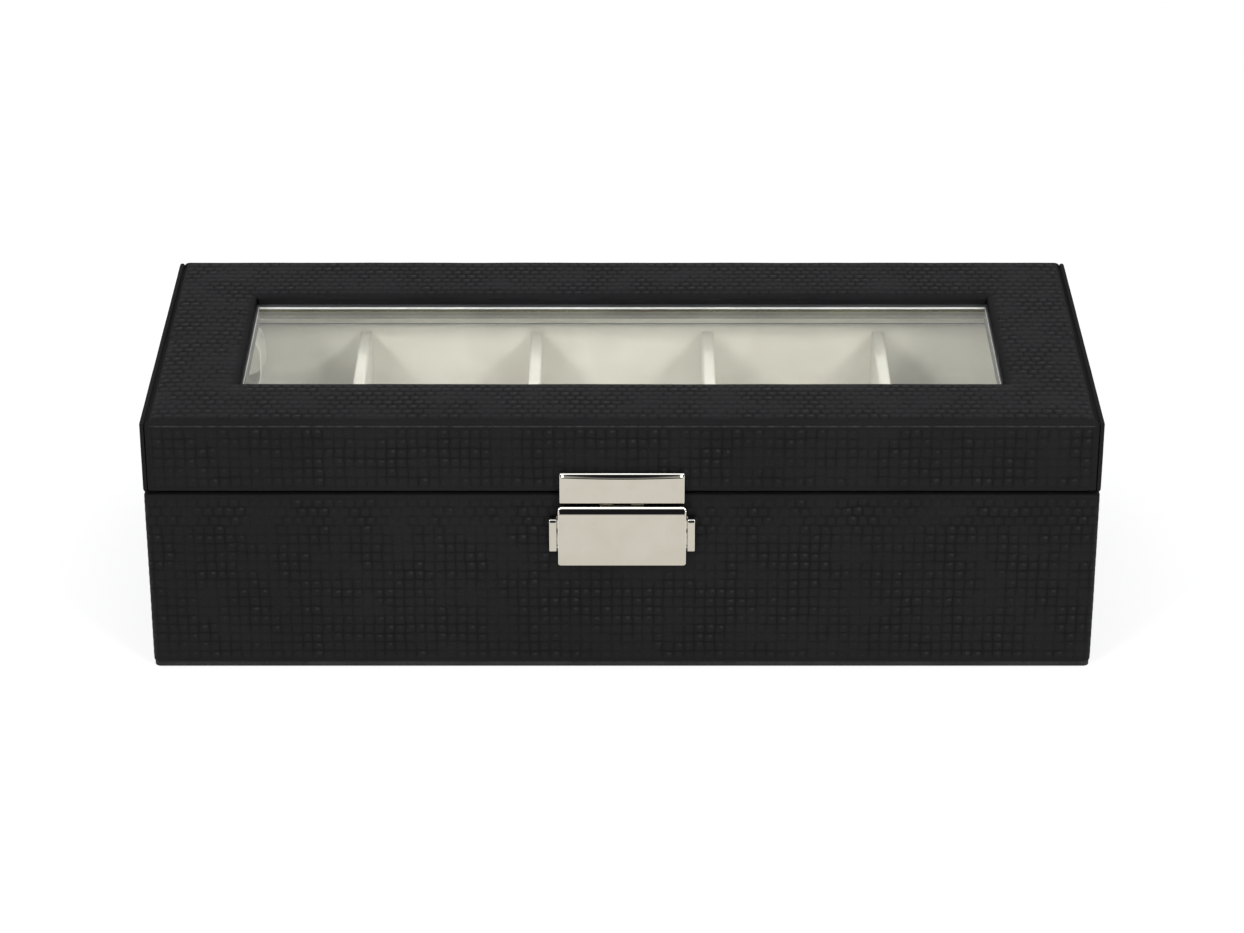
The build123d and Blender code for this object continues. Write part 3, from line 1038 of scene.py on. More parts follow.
@dataclass(frozen=True)
class FeltFinish:
    """Dark pressed felt for the underside, or open-celled foam."""

    name: str = "base_felt"
    deep: Colour = (0.012, 0.012, 0.013)
    lit: Colour = (0.030, 0.029, 0.031)
    scale: float = 1300.0

    def build(self) -> bpy.types.Material:
        """Build the material.

        Returns:
            The material.
        """
        paint = Paint(self.name, Specular_IOR_Level=0.15, Sheen_Weight=0.1)
        nap = paint.group(fibre_nap(), Vector=paint.place, Scale=self.scale)
        g = paint.g
        paint.set(
            Base_Color=g.mix(g.ramp(nap.outputs["Tone"], 0.3, 0.7), opaque(self.deep), opaque(self.lit)),
            Roughness=g.ramp(nap.outputs["Tone"], 0.2, 0.8, 0.98, 0.85),
            Normal=paint.bump(nap.outputs["Height"], 0.00012, 0.8),
        )
        return paint.material


def built(finish: Any) -> Any:
    """Give a field that builds a finish when the palette is made."""
    return field(default_factory=finish.build)


@dataclass
class Palette:
    """Every material of the box, built once."""

    leather: bpy.types.Material = built(LeatherFinish())
    plain_leather: bpy.types.Material = built(
        LeatherFinish(name="plain_leather", studs=False, top=(0.007, 0.0069, 0.0076))
    )
    velvet: bpy.types.Material = built(VelvetFinish())
    # Painted shade: a dark olive velvet for the liner's inner edge and bead, which lie in shade.
    edge_painted_shade: bpy.types.Material = built(
        VelvetFinish("shaded_edge", (0.085, 0.080, 0.052), (0.145, 0.138, 0.096), 0.1, 0.00004)
    )
    # Painted shade: a dark blue-grey velvet for the ledge under the glass.
    seat_tape: bpy.types.Material = built(
        VelvetFinish("seat_tape", (0.115, 0.115, 0.125), (0.16, 0.16, 0.172), 0.0, 0.00002)
    )
    # Painted highlight: a whiter velvet for the arris at the glass's level.
    arris: bpy.types.Material = built(
        VelvetFinish("bright_arris", (0.66, 0.66, 0.65), (0.84, 0.84, 0.82), 0.0, 0.00003)
    )
    pillow: bpy.types.Material = built(
        VelvetFinish("pillow_velvet", (0.68, 0.66, 0.54), (0.82, 0.80, 0.69), 0.35, 0.00008)
    )
    ribbon: bpy.types.Material = built(SatinFinish())
    glass: bpy.types.Material = built(GlassFinish())
    chrome: bpy.types.Material = built(MetalFinish())
    # Painted highlight: a brighter copy of the chrome for the plates' side walls and rolled rims.
    rim: bpy.types.Material = built(
        MetalFinish("polished_rim", (0.93, 0.91, 0.86), (0.86, 0.84, 0.78), 0.05, 0.1)
    )
    steel: bpy.types.Material = built(
        MetalFinish("brushed_steel", (0.56, 0.55, 0.52), (0.42, 0.41, 0.38), 0.22, 0.36, 0.08)
    )
    nickel: bpy.types.Material = built(
        MetalFinish("nickel_plate", (0.68, 0.66, 0.61), (0.55, 0.53, 0.48), 0.16, 0.3)
    )
    board: bpy.types.Material = built(BoardFinish())
    felt: bpy.types.Material = built(FeltFinish())
    foam: bpy.types.Material = built(FeltFinish("pad_foam", (0.55, 0.53, 0.47), (0.74, 0.72, 0.66), 700.0))


# ---- Geometry node trees ---------------------------------------------------------------


def geometry_tree(
    name: str, inputs: Sockets, fill: Callable[[Graph, Any], bpy.types.NodeSocket]
) -> bpy.types.NodeTree:
    """Build a geometry tree that ends in Realize Instances and Set Material.

    Args:
        name: The tree's name.
        inputs: Each input's name, socket type and value, after the geometry.
        fill: Adds the nodes and gives the shaped geometry.

    Returns:
        The tree.
    """
    found = bpy.data.node_groups.get(name)
    if found:
        return found
    tree = bpy.data.node_groups.new(name, "GeometryNodeTree")
    tree.interface.new_socket("Geometry", in_out="INPUT", socket_type="NodeSocketGeometry")
    for label, kind, value in inputs:
        socket = tree.interface.new_socket(label, in_out="INPUT", socket_type=kind)
        if value is not None:
            socket.default_value = value
    tree.interface.new_socket("Material", in_out="INPUT", socket_type="NodeSocketMaterial")
    tree.interface.new_socket("Geometry", in_out="OUTPUT", socket_type="NodeSocketGeometry")
    graph = Graph(tree)
    given = graph.add("NodeGroupInput")
    shaped = graph.add("GeometryNodeRealizeInstances", fill(graph, given))
    dressed = graph.named(
        "GeometryNodeSetMaterial", {"Geometry": shaped, "Material": given.outputs["Material"]}
    )
    graph.add("NodeGroupOutput", dressed)
    return tree


def emboss_tree() -> bpy.types.NodeTree:
    """Give the tree that raises studs over a sheet and lets it wander a little.

    Returns:
        The tree.
    """

    def fill(g: Graph, given: Any) -> bpy.types.NodeSocket:
        """Raise the studs and add the wander.

        Args:
            g: The tree's graph.
            given: The node that holds its inputs.

        Returns:
            The shaped geometry.
        """
        cell = g.add("GeometryNodeInputNamedAttribute", "cell", data_type="FLOAT_VECTOR").outputs[0]
        strength = g.add("GeometryNodeInputNamedAttribute", "stud", data_type="FLOAT").outputs[0]
        split = g.add("ShaderNodeSeparateXYZ", cell)
        waves = []
        for axis in (0, 1):
            off = g.math("ABSOLUTE", g.scaled(g.math("FRACT", split.outputs[axis]), 2.0, -1.0))
            waves.append(g.minus(1.0, g.math("POWER", off, 2.5)))
        stud = g.times(g.times(waves[0], waves[1]), g.math("MAXIMUM", strength, 0.0))
        place = g.add("GeometryNodeInputPosition")
        wander = g.named(
            "ShaderNodeTexNoise",
            {
                "Vector": place,
                "W": given.outputs["Seed"],
                "Scale": given.outputs["Wander Scale"],
                "Detail": 2.0,
            },
            noise_dimensions="4D",
        )
        drift = g.times(g.minus(wander.outputs[0], 0.5), given.outputs["Wander"])
        rise = g.plus(g.times(stud, given.outputs["Depth"]), drift)
        normal = g.add("GeometryNodeInputNormal")
        offset = g.add("ShaderNodeVectorMath", normal, operation="SCALE")
        g.feed(offset.inputs["Scale"], rise)
        return g.named(
            "GeometryNodeSetPosition", {"Geometry": given.outputs["Geometry"], "Offset": offset}
        ).outputs[0]

    return geometry_tree(
        "emboss_studs",
        [
            ("Depth", "NodeSocketFloat", 0.00012),
            ("Wander", "NodeSocketFloat", 0.0002),
            ("Wander Scale", "NodeSocketFloat", 60.0),
            ("Seed", "NodeSocketFloat", 3.0),
        ],
        fill,
    )


def fixings_tree() -> bpy.types.NodeTree:
    """Give the tree that stands a head on every point, each turned by its own angle.

    Returns:
        The tree.
    """

    def fill(g: Graph, given: Any) -> bpy.types.NodeSocket:
        """Stand the heads on the points.

        Args:
            g: The tree's graph.
            given: The node that holds its inputs.

        Returns:
            The shaped geometry.
        """
        head = g.named(
            "GeometryNodeObjectInfo", {"Object": given.outputs["Head"]}, transform_space="ORIGINAL"
        )
        turn = g.named(
            "FunctionNodeRandomValue",
            {"Min": (0.0, -3.14, 0.0), "Max": (0.0, 3.14, 0.0), "Seed": given.outputs["Seed"]},
            data_type="FLOAT_VECTOR",
        )
        stood = g.named(
            "GeometryNodeInstanceOnPoints",
            {
                "Points": given.outputs["Geometry"],
                "Instance": head.outputs["Geometry"],
                "Rotation": turn.outputs[0],
            },
        )
        return stood.outputs[0]

    return geometry_tree(
        "stand_fixings", [("Head", "NodeSocketObject", None), ("Seed", "NodeSocketInt", 5)], fill
    )


def piping_tree() -> bpy.types.NodeTree:
    """Give the tree that lays a round cord along the edges it is given.

    Returns:
        The tree.
    """

    def fill(g: Graph, given: Any) -> bpy.types.NodeSocket:
        """Sweep the cord along the edges.

        Args:
            g: The tree's graph.
            given: The node that holds its inputs.

        Returns:
            The shaped geometry.
        """
        line = g.add("GeometryNodeMeshToCurve", given.outputs["Geometry"])
        even = g.named("GeometryNodeResampleCurve", {"Curve": line, "Count": given.outputs["Count"]})
        circle = g.named(
            "GeometryNodeCurvePrimitiveCircle", {"Resolution": 8, "Radius": given.outputs["Radius"]}
        )
        tube = g.named("GeometryNodeCurveToMesh", {"Curve": even, "Profile Curve": circle})
        return g.named("GeometryNodeSetShadeSmooth", {"Geometry": tube}).outputs[0]

    return geometry_tree(
        "lay_piping", [("Count", "NodeSocketInt", 160), ("Radius", "NodeSocketFloat", 0.0007)], fill
    )


def grown(
    piece: bpy.types.Object, tree: bpy.types.NodeTree, material: bpy.types.Material, **values: Any
) -> bpy.types.Object:
    """Run a geometry tree over a piece and keep the result as its mesh.

    Args:
        piece: The object to change.
        tree: The geometry tree.
        material: What the tree sets.
        values: The tree's other inputs, with _ for a space.

    Returns:
        The same object, with no modifier left.
    """
    modifier = piece.modifiers.new("grow", "NODES")
    modifier.node_group = tree
    wanted = {key.replace("_", " "): value for key, value in values.items()}
    wanted["Material"] = material
    for item in tree.interface.items_tree:
        if item.in_out == "INPUT" and item.name in wanted:
            modifier[item.identifier] = wanted[item.name]
    settled = settled_mesh(piece)
    piece.modifiers.remove(modifier)
    old, piece.data = piece.data, settled
    bpy.data.meshes.remove(old)
    settled.name = piece.name
    return piece


def finished(
    piece: bpy.types.Object,
    material: bpy.types.Material,
    body: str,
    slot: str,
    *stands_for: str,
    others: Sequence[bpy.types.Material] = (),
) -> bpy.types.Object:
    """Dress a piece, put it on its body and hide the frame nodes that it stands for.

    Args:
        piece: The object.
        material: Its material.
        body: The frame body it rides on.
        slot: Not used.
        stands_for: The frame nodes that it replaces.
        others: Materials for the faces already numbered from 1 up.

    Returns:
        The object.
    """
    numbers = np.zeros(len(piece.data.polygons), dtype=np.int32)
    piece.data.polygons.foreach_get("material_index", numbers)
    piece.data.materials.clear()
    for one in (material, *others):
        piece.data.materials.append(one)
    piece.data.polygons.foreach_set("material_index", np.minimum(numbers, len(others)))
    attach(piece, body)
    if stands_for:
        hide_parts(*stands_for)
    log.info("%s: %d faces on %s", piece.name, len(piece.data.polygons), body)
    return piece


def thicken(piece: bpy.types.Object, thickness: float, offset: float = -1.0) -> None:
    """Give a shell a wall and keep the result as its mesh.

    Args:
        piece: The shell's object.
        thickness: The wall, in millimetres.
        offset: Which side the wall grows to; -1 is inwards.
    """
    modifier = piece.modifiers.new("wall", "SOLIDIFY")
    modifier.thickness, modifier.offset, modifier.use_even_offset = thickness * MM, offset, True
    made = settled_mesh(piece)
    piece.modifiers.remove(modifier)
    piece.data = made


# ---- Base case -------------------------------------------------------------------------


@dataclass
class BaseCase:
    """The base's leather, its velvet lining and its dividers."""

    palette: Palette
    corner: float = 2.0
    long_cells: int = 90
    short_cells: int = 36
    rise_cells: int = 18
    stud_depth: float = 0.11

    def outline(self, inset: float) -> tuple[np.ndarray, np.ndarray]:
        """Trace the plan outline moved inwards.

        Args:
            inset: How far in, in millimetres.

        Returns:
            The points, and how far each is along the outline in cells.
        """
        _, high = span("base_leather_wrap")
        radius = max(self.corner - inset, 0.0)
        x, y = high[0] - inset - radius, high[1] - inset - radius
        runs = [
            ((-x, -y), (x, -y), self.long_cells, -90.0),
            ((x, -y), (x, y), self.short_cells, 0.0),
            ((x, y), (-x, y), self.long_cells, 90.0),
            ((-x, y), (-x, -y), self.short_cells, 180.0),
        ]
        points, cells, count = [], [], 0.0
        for start, end, number, angle in runs:
            out = np.array([math.cos(math.radians(angle)), math.sin(math.radians(angle))]) * radius
            for k in range(number * STEPS):
                t = k / (number * STEPS)
                points.append(np.array(start) * (1 - t) + np.array(end) * t + out)
                cells.append(count + k / STEPS)
            count += number
            for k in range(STEPS):
                a = math.radians(angle + 90.0 * k / STEPS)
                points.append(np.array(end) + np.array([math.cos(a), math.sin(a)]) * radius)
                cells.append(count + k / STEPS)
            count += 1
        return np.array(points), np.array(cells)

    def skin(self) -> bpy.types.Object:
        """Wrap the walls, turn the leather over the rim and emboss it.

        Returns:
            The skin.
        """
        low, high = span("base_leather_wrap")
        rim = high[2]
        first, last = low[2] + 1.0, rim - 1.0
        rows: list[tuple[float, float, float, float]] = [
            (1.1, low[2] + 0.02, -1.0, 0.0),
            (0.4, low[2] + 0.05, -0.75, 0.0),
            (0.1, low[2] + 0.3, -0.5, 0.0),
            (0.0, low[2] + 0.7, -0.25, 0.0),
        ]
        steps = self.rise_cells * STEPS
        for k in range(steps + 1):
            v = k / STEPS
            near = min(v, self.rise_cells - v)
            rows.append((0.0, first + (last - first) * k / steps, v, 0.25 if near < 0.3 else 1.0))
        count = float(self.rise_cells)
        rows += [
            (0.03, rim - 0.70, count + 0.25, 0.0),
            (0.14, rim - 0.38, count + 0.5, 0.0),
            (0.38, rim - 0.13, count + 0.75, 0.0),
            (0.80, rim, count + 1.0, 0.0),
            (2.4, rim, count + 1.5, 0.0),
            (4.3, rim - 0.02, count + 2.0, 0.0),
            (4.7, rim - 0.2, count + 2.25, 0.0),
            (4.8, rim - 0.7, count + 2.5, 0.0),
        ]
        places, cells = [], []
        for inset, z, v, strength in rows:
            plan, u = self.outline(inset)
            places.append(np.column_stack([plan, np.full(len(plan), z)]))
            cells.append(np.column_stack([u, np.full(len(u), v), np.full(len(u), strength)]))
        sheet = SkinGrid(np.array(places), np.array(cells), closed=True).build("base_skin")
        grown(
            sheet,
            emboss_tree(),
            self.palette.leather,
            Depth=self.stud_depth * MM,
            Wander=0.00022,
            Wander_Scale=55.0,
            Seed=3.0,
        )
        return finished(sheet, self.palette.leather, "base", "leather", "base_leather_wrap")

    def lining(self) -> None:
        """Cover the floor, the walls and the dividers with velvet cards."""
        for word in ("floor", "front", "back", "left", "right"):
            low, high = span(f"lining_{word}")
            card = place_mesh(f"base_card_{word}", soft_block("card", low, high, 0.7))
            finished(card, self.palette.velvet, "base", "lining", f"lining_{word}")
        for number in range(1, 5):
            low, high = span(f"divider_{number}")
            card = place_mesh(f"divider_card_{number}", soft_block("card", low, high, 0.8, 0.12, 5))
            finished(card, self.palette.velvet, "base", "lining", f"divider_{number}")

    def build(self) -> None:
        """Make the whole base."""
        self.skin()
        self.lining()


# ---- Lid case --------------------------------------------------------------------------


@dataclass
class LidCase:
    """The lid's leather cover, end caps, liner frame and velvet edges."""

    palette: Palette
    side_cells: int = 7
    window_cells_x: int = 75
    strip_cells: int = 8
    window_cells_y: int = 21
    front_cells: int = 6
    end_cells: int = 37
    edge_radius: float = 1.5
    roll: float = 0.9
    stud_depth: float = 0.11
    glass_overlap: float = 5.0
    bead_drop: float = 0.7

    def __post_init__(self) -> None:
        """Take the lid's levels from the frame."""
        self.low, self.high = span("lid_leather_cover")
        _, self.window = span("glass_pane")
        self.glass_top = self.window[2]
        self.window_x, self.window_y = (self.window[k] - self.glass_overlap for k in (0, 1))
        self.inner_x = float(span("lid_liner_frame")[1][0])
        self.inner_y = float(span("lid_liner_frame")[1][1])
        self.pad_x = self.high[0] - 1.0

    def columns(self) -> list[tuple[float, float, float, float, float, float]]:
        """List the cover's columns as top x, top drop, side x, side drop, cell and strength.

        Returns:
            The columns from left to right.
        """
        edge_top, edge_side = self.pad_x, self.high[0]
        rolled = [
            (edge_top, 1.9, edge_side, 0.5),
            (edge_top - 0.02, 0.9, edge_side - 0.05, 0.15),
            (edge_top - 0.3, 0.3, edge_side - 0.4, 0.02),
            (edge_top - 0.7, 0.06, edge_side - 1.1, 0.0),
        ]
        start = edge_top - 1.1
        left = [(-a, b, -c, d, -2.0 + k * 0.25, 0.0) for k, (a, b, c, d) in enumerate(rolled)]
        main: list[tuple[float, float, float, float, float, float]] = []
        knots = [
            (-start, 0),
            (-(self.window_x + self.roll), self.side_cells),
            (self.window_x + self.roll, self.side_cells + self.window_cells_x),
            (start, 2 * self.side_cells + self.window_cells_x),
        ]
        for (xa, ca), (xb, cb) in zip(knots, knots[1:]):
            for k in range((cb - ca) * STEPS):
                t = k / ((cb - ca) * STEPS)
                x = xa + (xb - xa) * t
                main.append((x, 0.0, x, 0.0, ca + k / STEPS, 1.0))
        main.append((start, 0.0, start, 0.0, float(knots[-1][1]), 1.0))
        right = [(-a, b, -c, d, 200.0 - u, m) for a, b, c, d, u, m in reversed(left)]
        return left + main + right

    def section(self) -> list[tuple[float, float, float, float, float, float, float]]:
        """List the cover's rows from front to back.

        Returns:
            Rows of y, z, outward y, outward z, cell, strength and how far the row is on top.
        """
        y, top, bottom = self.high[1], self.high[2], self.low[2]
        inner, r = self.inner_y - 0.12, self.edge_radius
        half: list[tuple[float, float, float, float, float, float, float]] = [
            (-inner, bottom + 3.7, 1, 0, -4, 0, 0),
            (-inner, bottom + 0.6, 1, 0, -3.5, 0, 0),
            (-inner - 0.2, bottom + 0.14, 0.7, -0.7, -3, 0, 0),
            (-inner - 0.6, bottom, 0, -1, -2.5, 0, 0),
            (-y + 0.9, bottom, 0, -1, -1.5, 0, 0),
            (-y + 0.35, bottom + 0.1, -0.5, -0.85, -1, 0, 0),
            (-y + 0.06, bottom + 0.45, -0.9, -0.3, -0.75, 0, 0),
            (-y, bottom + 1.0, -1, 0, -0.5, 0, 0),
        ]
        z_first, z_last = bottom + 1.6, top - r - 1.1
        steps = self.front_cells * STEPS
        for k in range(steps + 1):
            v = k / STEPS
            half.append(
                (-y, z_first + (z_last - z_first) * k / steps, -1, 0, v, 1.0 if 0 < k < steps else 0.2, 0)
            )
        # A negative strength marks the rows that get the painted highlight along the crease under the top
        # edge.
        half += [
            (-y + 0.03, top - r - 0.75, -1, 0, self.front_cells + 0.3, 0, 0),
            (-y, top - r - 0.45, -1, 0, self.front_cells + 0.4, -1, 0),
            (-y + 0.03, top - r - 0.2, -1, 0, self.front_cells + 0.5, -0.4, 0),
        ]
        for k in range(6):
            a = math.radians(90.0 * k / 5)
            half.append(
                (
                    -y + r - r * math.cos(a),
                    top - r + r * math.sin(a),
                    -math.cos(a),
                    math.sin(a),
                    self.front_cells + 0.6,
                    0,
                    k / 5,
                )
            )
        strip_start, strip_end = -y + r + 0.5, -(self.window_y + self.roll)
        rows = list(half)
        base = 20.0
        knots = [
            (strip_start, base),
            (strip_end, base + self.strip_cells),
            (-strip_end, base + self.strip_cells + self.window_cells_y),
            (-strip_start, base + 2 * self.strip_cells + self.window_cells_y),
        ]
        for (ya, ca), (yb, cb) in zip(knots, knots[1:]):
            count = round((cb - ca) * STEPS)
            for k in range(count):
                rows.append((ya + (yb - ya) * k / count, top, 0, 1, ca + k / STEPS, 1.0, 1))
        rows.append((-strip_start, top, 0, 1, knots[-1][1], 1.0, 1))
        rows += [(-a, b, -c, d, 100.0 - v, m, w) for a, b, c, d, v, m, w in reversed(half)]
        return rows

    def cover(self) -> bpy.types.Object:
        """Stretch one hide over the padded top, down the front and back and into the window.

        Returns:
            The cover.
        """
        columns, rows = np.array(self.columns()), np.array(self.section())
        top_x, top_drop, side_x, side_drop, u, col_strength = columns.T
        y, z, out_y, out_z, v, row_strength, on_top = (rows[:, k][:, None] for k in range(7))
        x = top_x * on_top + side_x * (1 - on_top)
        drop = top_drop * on_top + side_drop * (1 - on_top)
        to_edge = np.minimum(self.pad_x - np.abs(x), self.high[1] - np.abs(y))
        gap_x = np.maximum(np.abs(x) - self.window_x - self.roll, 0)
        gap_y = np.maximum(np.abs(y) - self.window_y - self.roll, 0)
        to_window = np.hypot(gap_x, gap_y)
        edge_sink = np.where(y > 0, 0.08, 0.5)
        sink = (edge_sink * np.exp(-np.maximum(to_edge, 0) / 2.6) + 0.5 * np.exp(-to_window / 2.8)) * (
            on_top > 0.99
        )
        sink = sink + edge_sink * on_top * (on_top < 0.99)
        places = np.stack(
            [x + 0 * y, y - out_y * drop + 0 * x, z - out_z * drop - sink + 0 * x], -1
        )
        strength = row_strength * col_strength
        fade = np.clip(to_window / 1.6, 0, 1) * np.clip((to_edge - 0.2) / 0.6, 0.15, 1)
        strength = np.where(on_top > 0.99, strength * fade, strength + 0 * x)
        cells = np.stack([u + 0 * y, v + 0 * u, strength], -1)
        wide, deep = self.window_x + self.roll, self.window_y + self.roll
        middle = self.high[2] - 5.0

        def inside(centre: np.ndarray) -> np.ndarray:
            """Say which faces lie over the window.

            Args:
                centre: The faces' middles.

            Returns:
                True where a face is left out.
            """
            return (np.abs(centre[:, 0]) < wide) & (np.abs(centre[:, 1]) < deep) & (centre[:, 2] > middle)

        sheet = SkinGrid(places, cells, skip=inside).build("lid_skin")

        def towards_window(p: Vector) -> Vector:
            """Give the way in from the window's edge.

            Args:
                p: A point on the edge.

            Returns:
                The direction.
            """
            across = -math.copysign(1.0, p.x) if abs(abs(p.x) - wide) < 0.01 else 0.0
            along = -math.copysign(1.0, p.y) if abs(abs(p.y) - deep) < 0.01 else 0.0
            return Vector((across, along, 0.0))

        edge_z = self.high[2] - 0.5
        full = edge_z - self.glass_top - 0.02
        roll_border(
            sheet,
            lambda p: abs(p.x) < wide + 0.1 and abs(p.y) < deep + 0.1 and p.z > middle,
            towards_window,
            Vector((0, 0, -1)),
            [(0.28, 0.06), (0.56, 0.26), (0.78, 0.62), (0.88, 1.1), (self.roll, 1.8), (self.roll, full)],
        )
        grown(
            sheet,
            emboss_tree(),
            self.palette.leather,
            Depth=self.stud_depth * MM,
            Wander=0.00032,
            Wander_Scale=48.0,
            Seed=8.0,
        )
        finished(sheet, self.palette.leather, "lid", "leather", "lid_leather_cover", "lid_foam_pad")
        return sheet

    def end_cap(self, side: Side) -> bpy.types.Object:
        """Cover one end of the lid and turn the leather in round its edges.

        Args:
            side: Which end.

        Returns:
            The cap.
        """
        word = side.name.lower()
        low, high = span(f"lid_{word}_leather")
        outer, inner = max(abs(low[0]), abs(high[0])), self.high[0]
        bottom, top, depth = low[2], high[2], high[1]
        tucked = self.inner_x - 0.12
        floor = self.high[2] - 1.68
        section: list[tuple[float, float, float, float, float]] = [
            (tucked, bottom + 3.7, -4, 0, 0),
            (tucked, bottom + 0.6, -3.5, 0, 0),
            (tucked + 0.2, bottom + 0.14, -3, 0, 0),
            (tucked + 0.6, bottom + 0.01, -2.5, 0, 0),
            (outer - 0.9, bottom + 0.01, -1.5, 0, 0),
            (outer - 0.35, bottom + 0.1, -1, 0, 0.3),
            (outer - 0.06, bottom + 0.45, -0.75, 0, 0.8),
            (outer, bottom + 1.0, -0.5, 0, 1),
        ]
        z_first, z_last = bottom + 1.6, top - 1.3
        steps = self.front_cells * STEPS
        for k in range(steps + 1):
            section.append(
                (outer, z_first + (z_last - z_first) * k / steps, k / STEPS, 1.0 if 0 < k < steps else 0.2, 1)
            )
        section += [
            (outer, top - 0.75, self.front_cells + 0.25, 0, 1),
            (outer - 0.05, top - 0.42, self.front_cells + 0.5, 0, 0.9),
            (outer - 0.22, top - 0.15, self.front_cells + 0.75, 0, 0.6),
            (outer - 0.5, top - 0.01, self.front_cells + 1.0, 0, 0.3),
            (outer - 0.95, top, self.front_cells + 1.25, 0, 0),
            (inner + 0.2, top - 0.1, self.front_cells + 1.5, 0, 0),
            (inner + 0.02, top - 0.35, self.front_cells + 1.75, 0, 0),
            (inner, floor + 0.1, self.front_cells + 2.0, 0, 0),
            (inner - 0.15, floor, self.front_cells + 2.5, 0, 0),
            (self.pad_x - 0.6, floor, self.front_cells + 2.75, 0, 0),
        ]
        rolled = [
            (depth, 1.3), (depth - 0.02, 0.6), (depth - 0.16, 0.22), (depth - 0.45, 0.04), (depth - 0.8, 0.0)
        ]
        columns = [(-a, b, -2 + k * 0.25, 0.0) for k, (a, b) in enumerate(rolled)]
        start = depth - 1.3
        count = self.end_cells * STEPS
        columns += [(-start + 2 * start * k / count, 0.0, k / STEPS, 1.0) for k in range(count + 1)]
        columns += [(a, b, 60.0 + k * 0.25, 0.0) for k, (a, b) in enumerate(reversed(rolled))]
        sec, col = np.array(section), np.array(columns)
        x, z, v, row_strength, facing = (sec[:, k][:, None] for k in range(5))
        y, drop, u, col_strength = col.T
        sink = np.clip(drop, 0, None) * (1 - facing) * 0.25 * (z > top - 1.0)
        places = np.stack([(x - drop * facing) * side.value, y + 0 * x, z + 0 * y - sink], -1)
        cells = np.stack([u + 0 * x, v + 0 * y, row_strength * col_strength], -1)
        sheet = SkinGrid(places, cells, flipped=side is Side.LEFT).build(f"lid_cap_{word}")
        grown(
            sheet,
            emboss_tree(),
            self.palette.leather,
            Depth=self.stud_depth * MM,
            Wander=0.00016,
            Wander_Scale=70.0,
            Seed=12.0 + side.value,
        )
        return finished(sheet, self.palette.leather, "lid", "leather", f"lid_{word}_leather")

    def liner(self) -> None:
        """Cover the glass frame and the lid's inner walls with velvet."""
        low, high = span("lid_liner_frame")
        g_low, g_high = span("glass_pane")
        seat = high[0] - (g_high[0] + 0.2)
        lip = high[0] - (self.window_x - 1.0)
        r, bead = 0.4, low[2] - self.bead_drop
        quarter = np.linspace(0, math.pi / 2, 5)
        flat = [(0.0, low[2]), (lip * 0.5, low[2]), (lip - 3.0, low[2])]
        turned = [(lip - r + r * math.sin(a), bead + r - r * math.cos(a)) for a in quarter]
        under = flat + [(lip - 1.6, bead + 0.1), (lip - 1.0, bead)] + turned
        arris = [(lip - r + r * math.cos(a), g_low[2] - 0.5 + 0.5 * math.sin(a)) for a in quarter]
        section = under + arris + [(seat, g_low[2]), (seat, high[2]), (0.0, high[2])]
        mesh = frame_ring("liner_ring", high[0], high[1], section)
        around = len(mesh.vertices) // len(section)
        rows = np.arange(len(mesh.polygons)) // around
        # Painted light on the ring: index 1 is painted shade on the inner edge, its lower rounding and the
        # arris at both ends; index 2 is painted shade on the ledge under the glass; index 3 is a painted
        # highlight on the arris at the front and back.
        chosen = np.zeros(len(mesh.polygons), dtype=np.int32)
        chosen[(rows >= len(under) - 4) & (rows < len(under))] = 1
        chosen[(rows >= len(under)) & (rows < len(under) + len(arris) - 1)] = 3
        chosen[rows == len(under) + len(arris) - 1] = 2
        ends = np.array([abs(face.normal.x) > 0.3 for face in mesh.polygons])
        chosen[(chosen == 3) & ends] = 1
        mesh.polygons.foreach_set("material_index", chosen)
        p = self.palette
        ring = place_mesh("liner_ring", mesh)
        finished(
            ring, p.velvet, "lid", "lining", "lid_liner_frame", others=[p.edge_painted_shade, p.seat_tape, p.arris]
        )
        for word in ("front", "back", "left", "right"):
            c_low, c_high = span(f"lid_lining_{word}")
            c_low[2] -= 1.2
            card = place_mesh(f"lid_card_{word}", soft_block("card", c_low, c_high, 0.3))
            finished(card, self.palette.velvet, "lid", "lining", f"lid_lining_{word}")

    def build(self) -> None:
        """Make the whole lid."""
        self.cover()
        for side in Side:
            self.end_cap(side)
        self.liner()


# ---- Flip catch ------------------------------------------------------------------------

Ring = tuple[float, float]


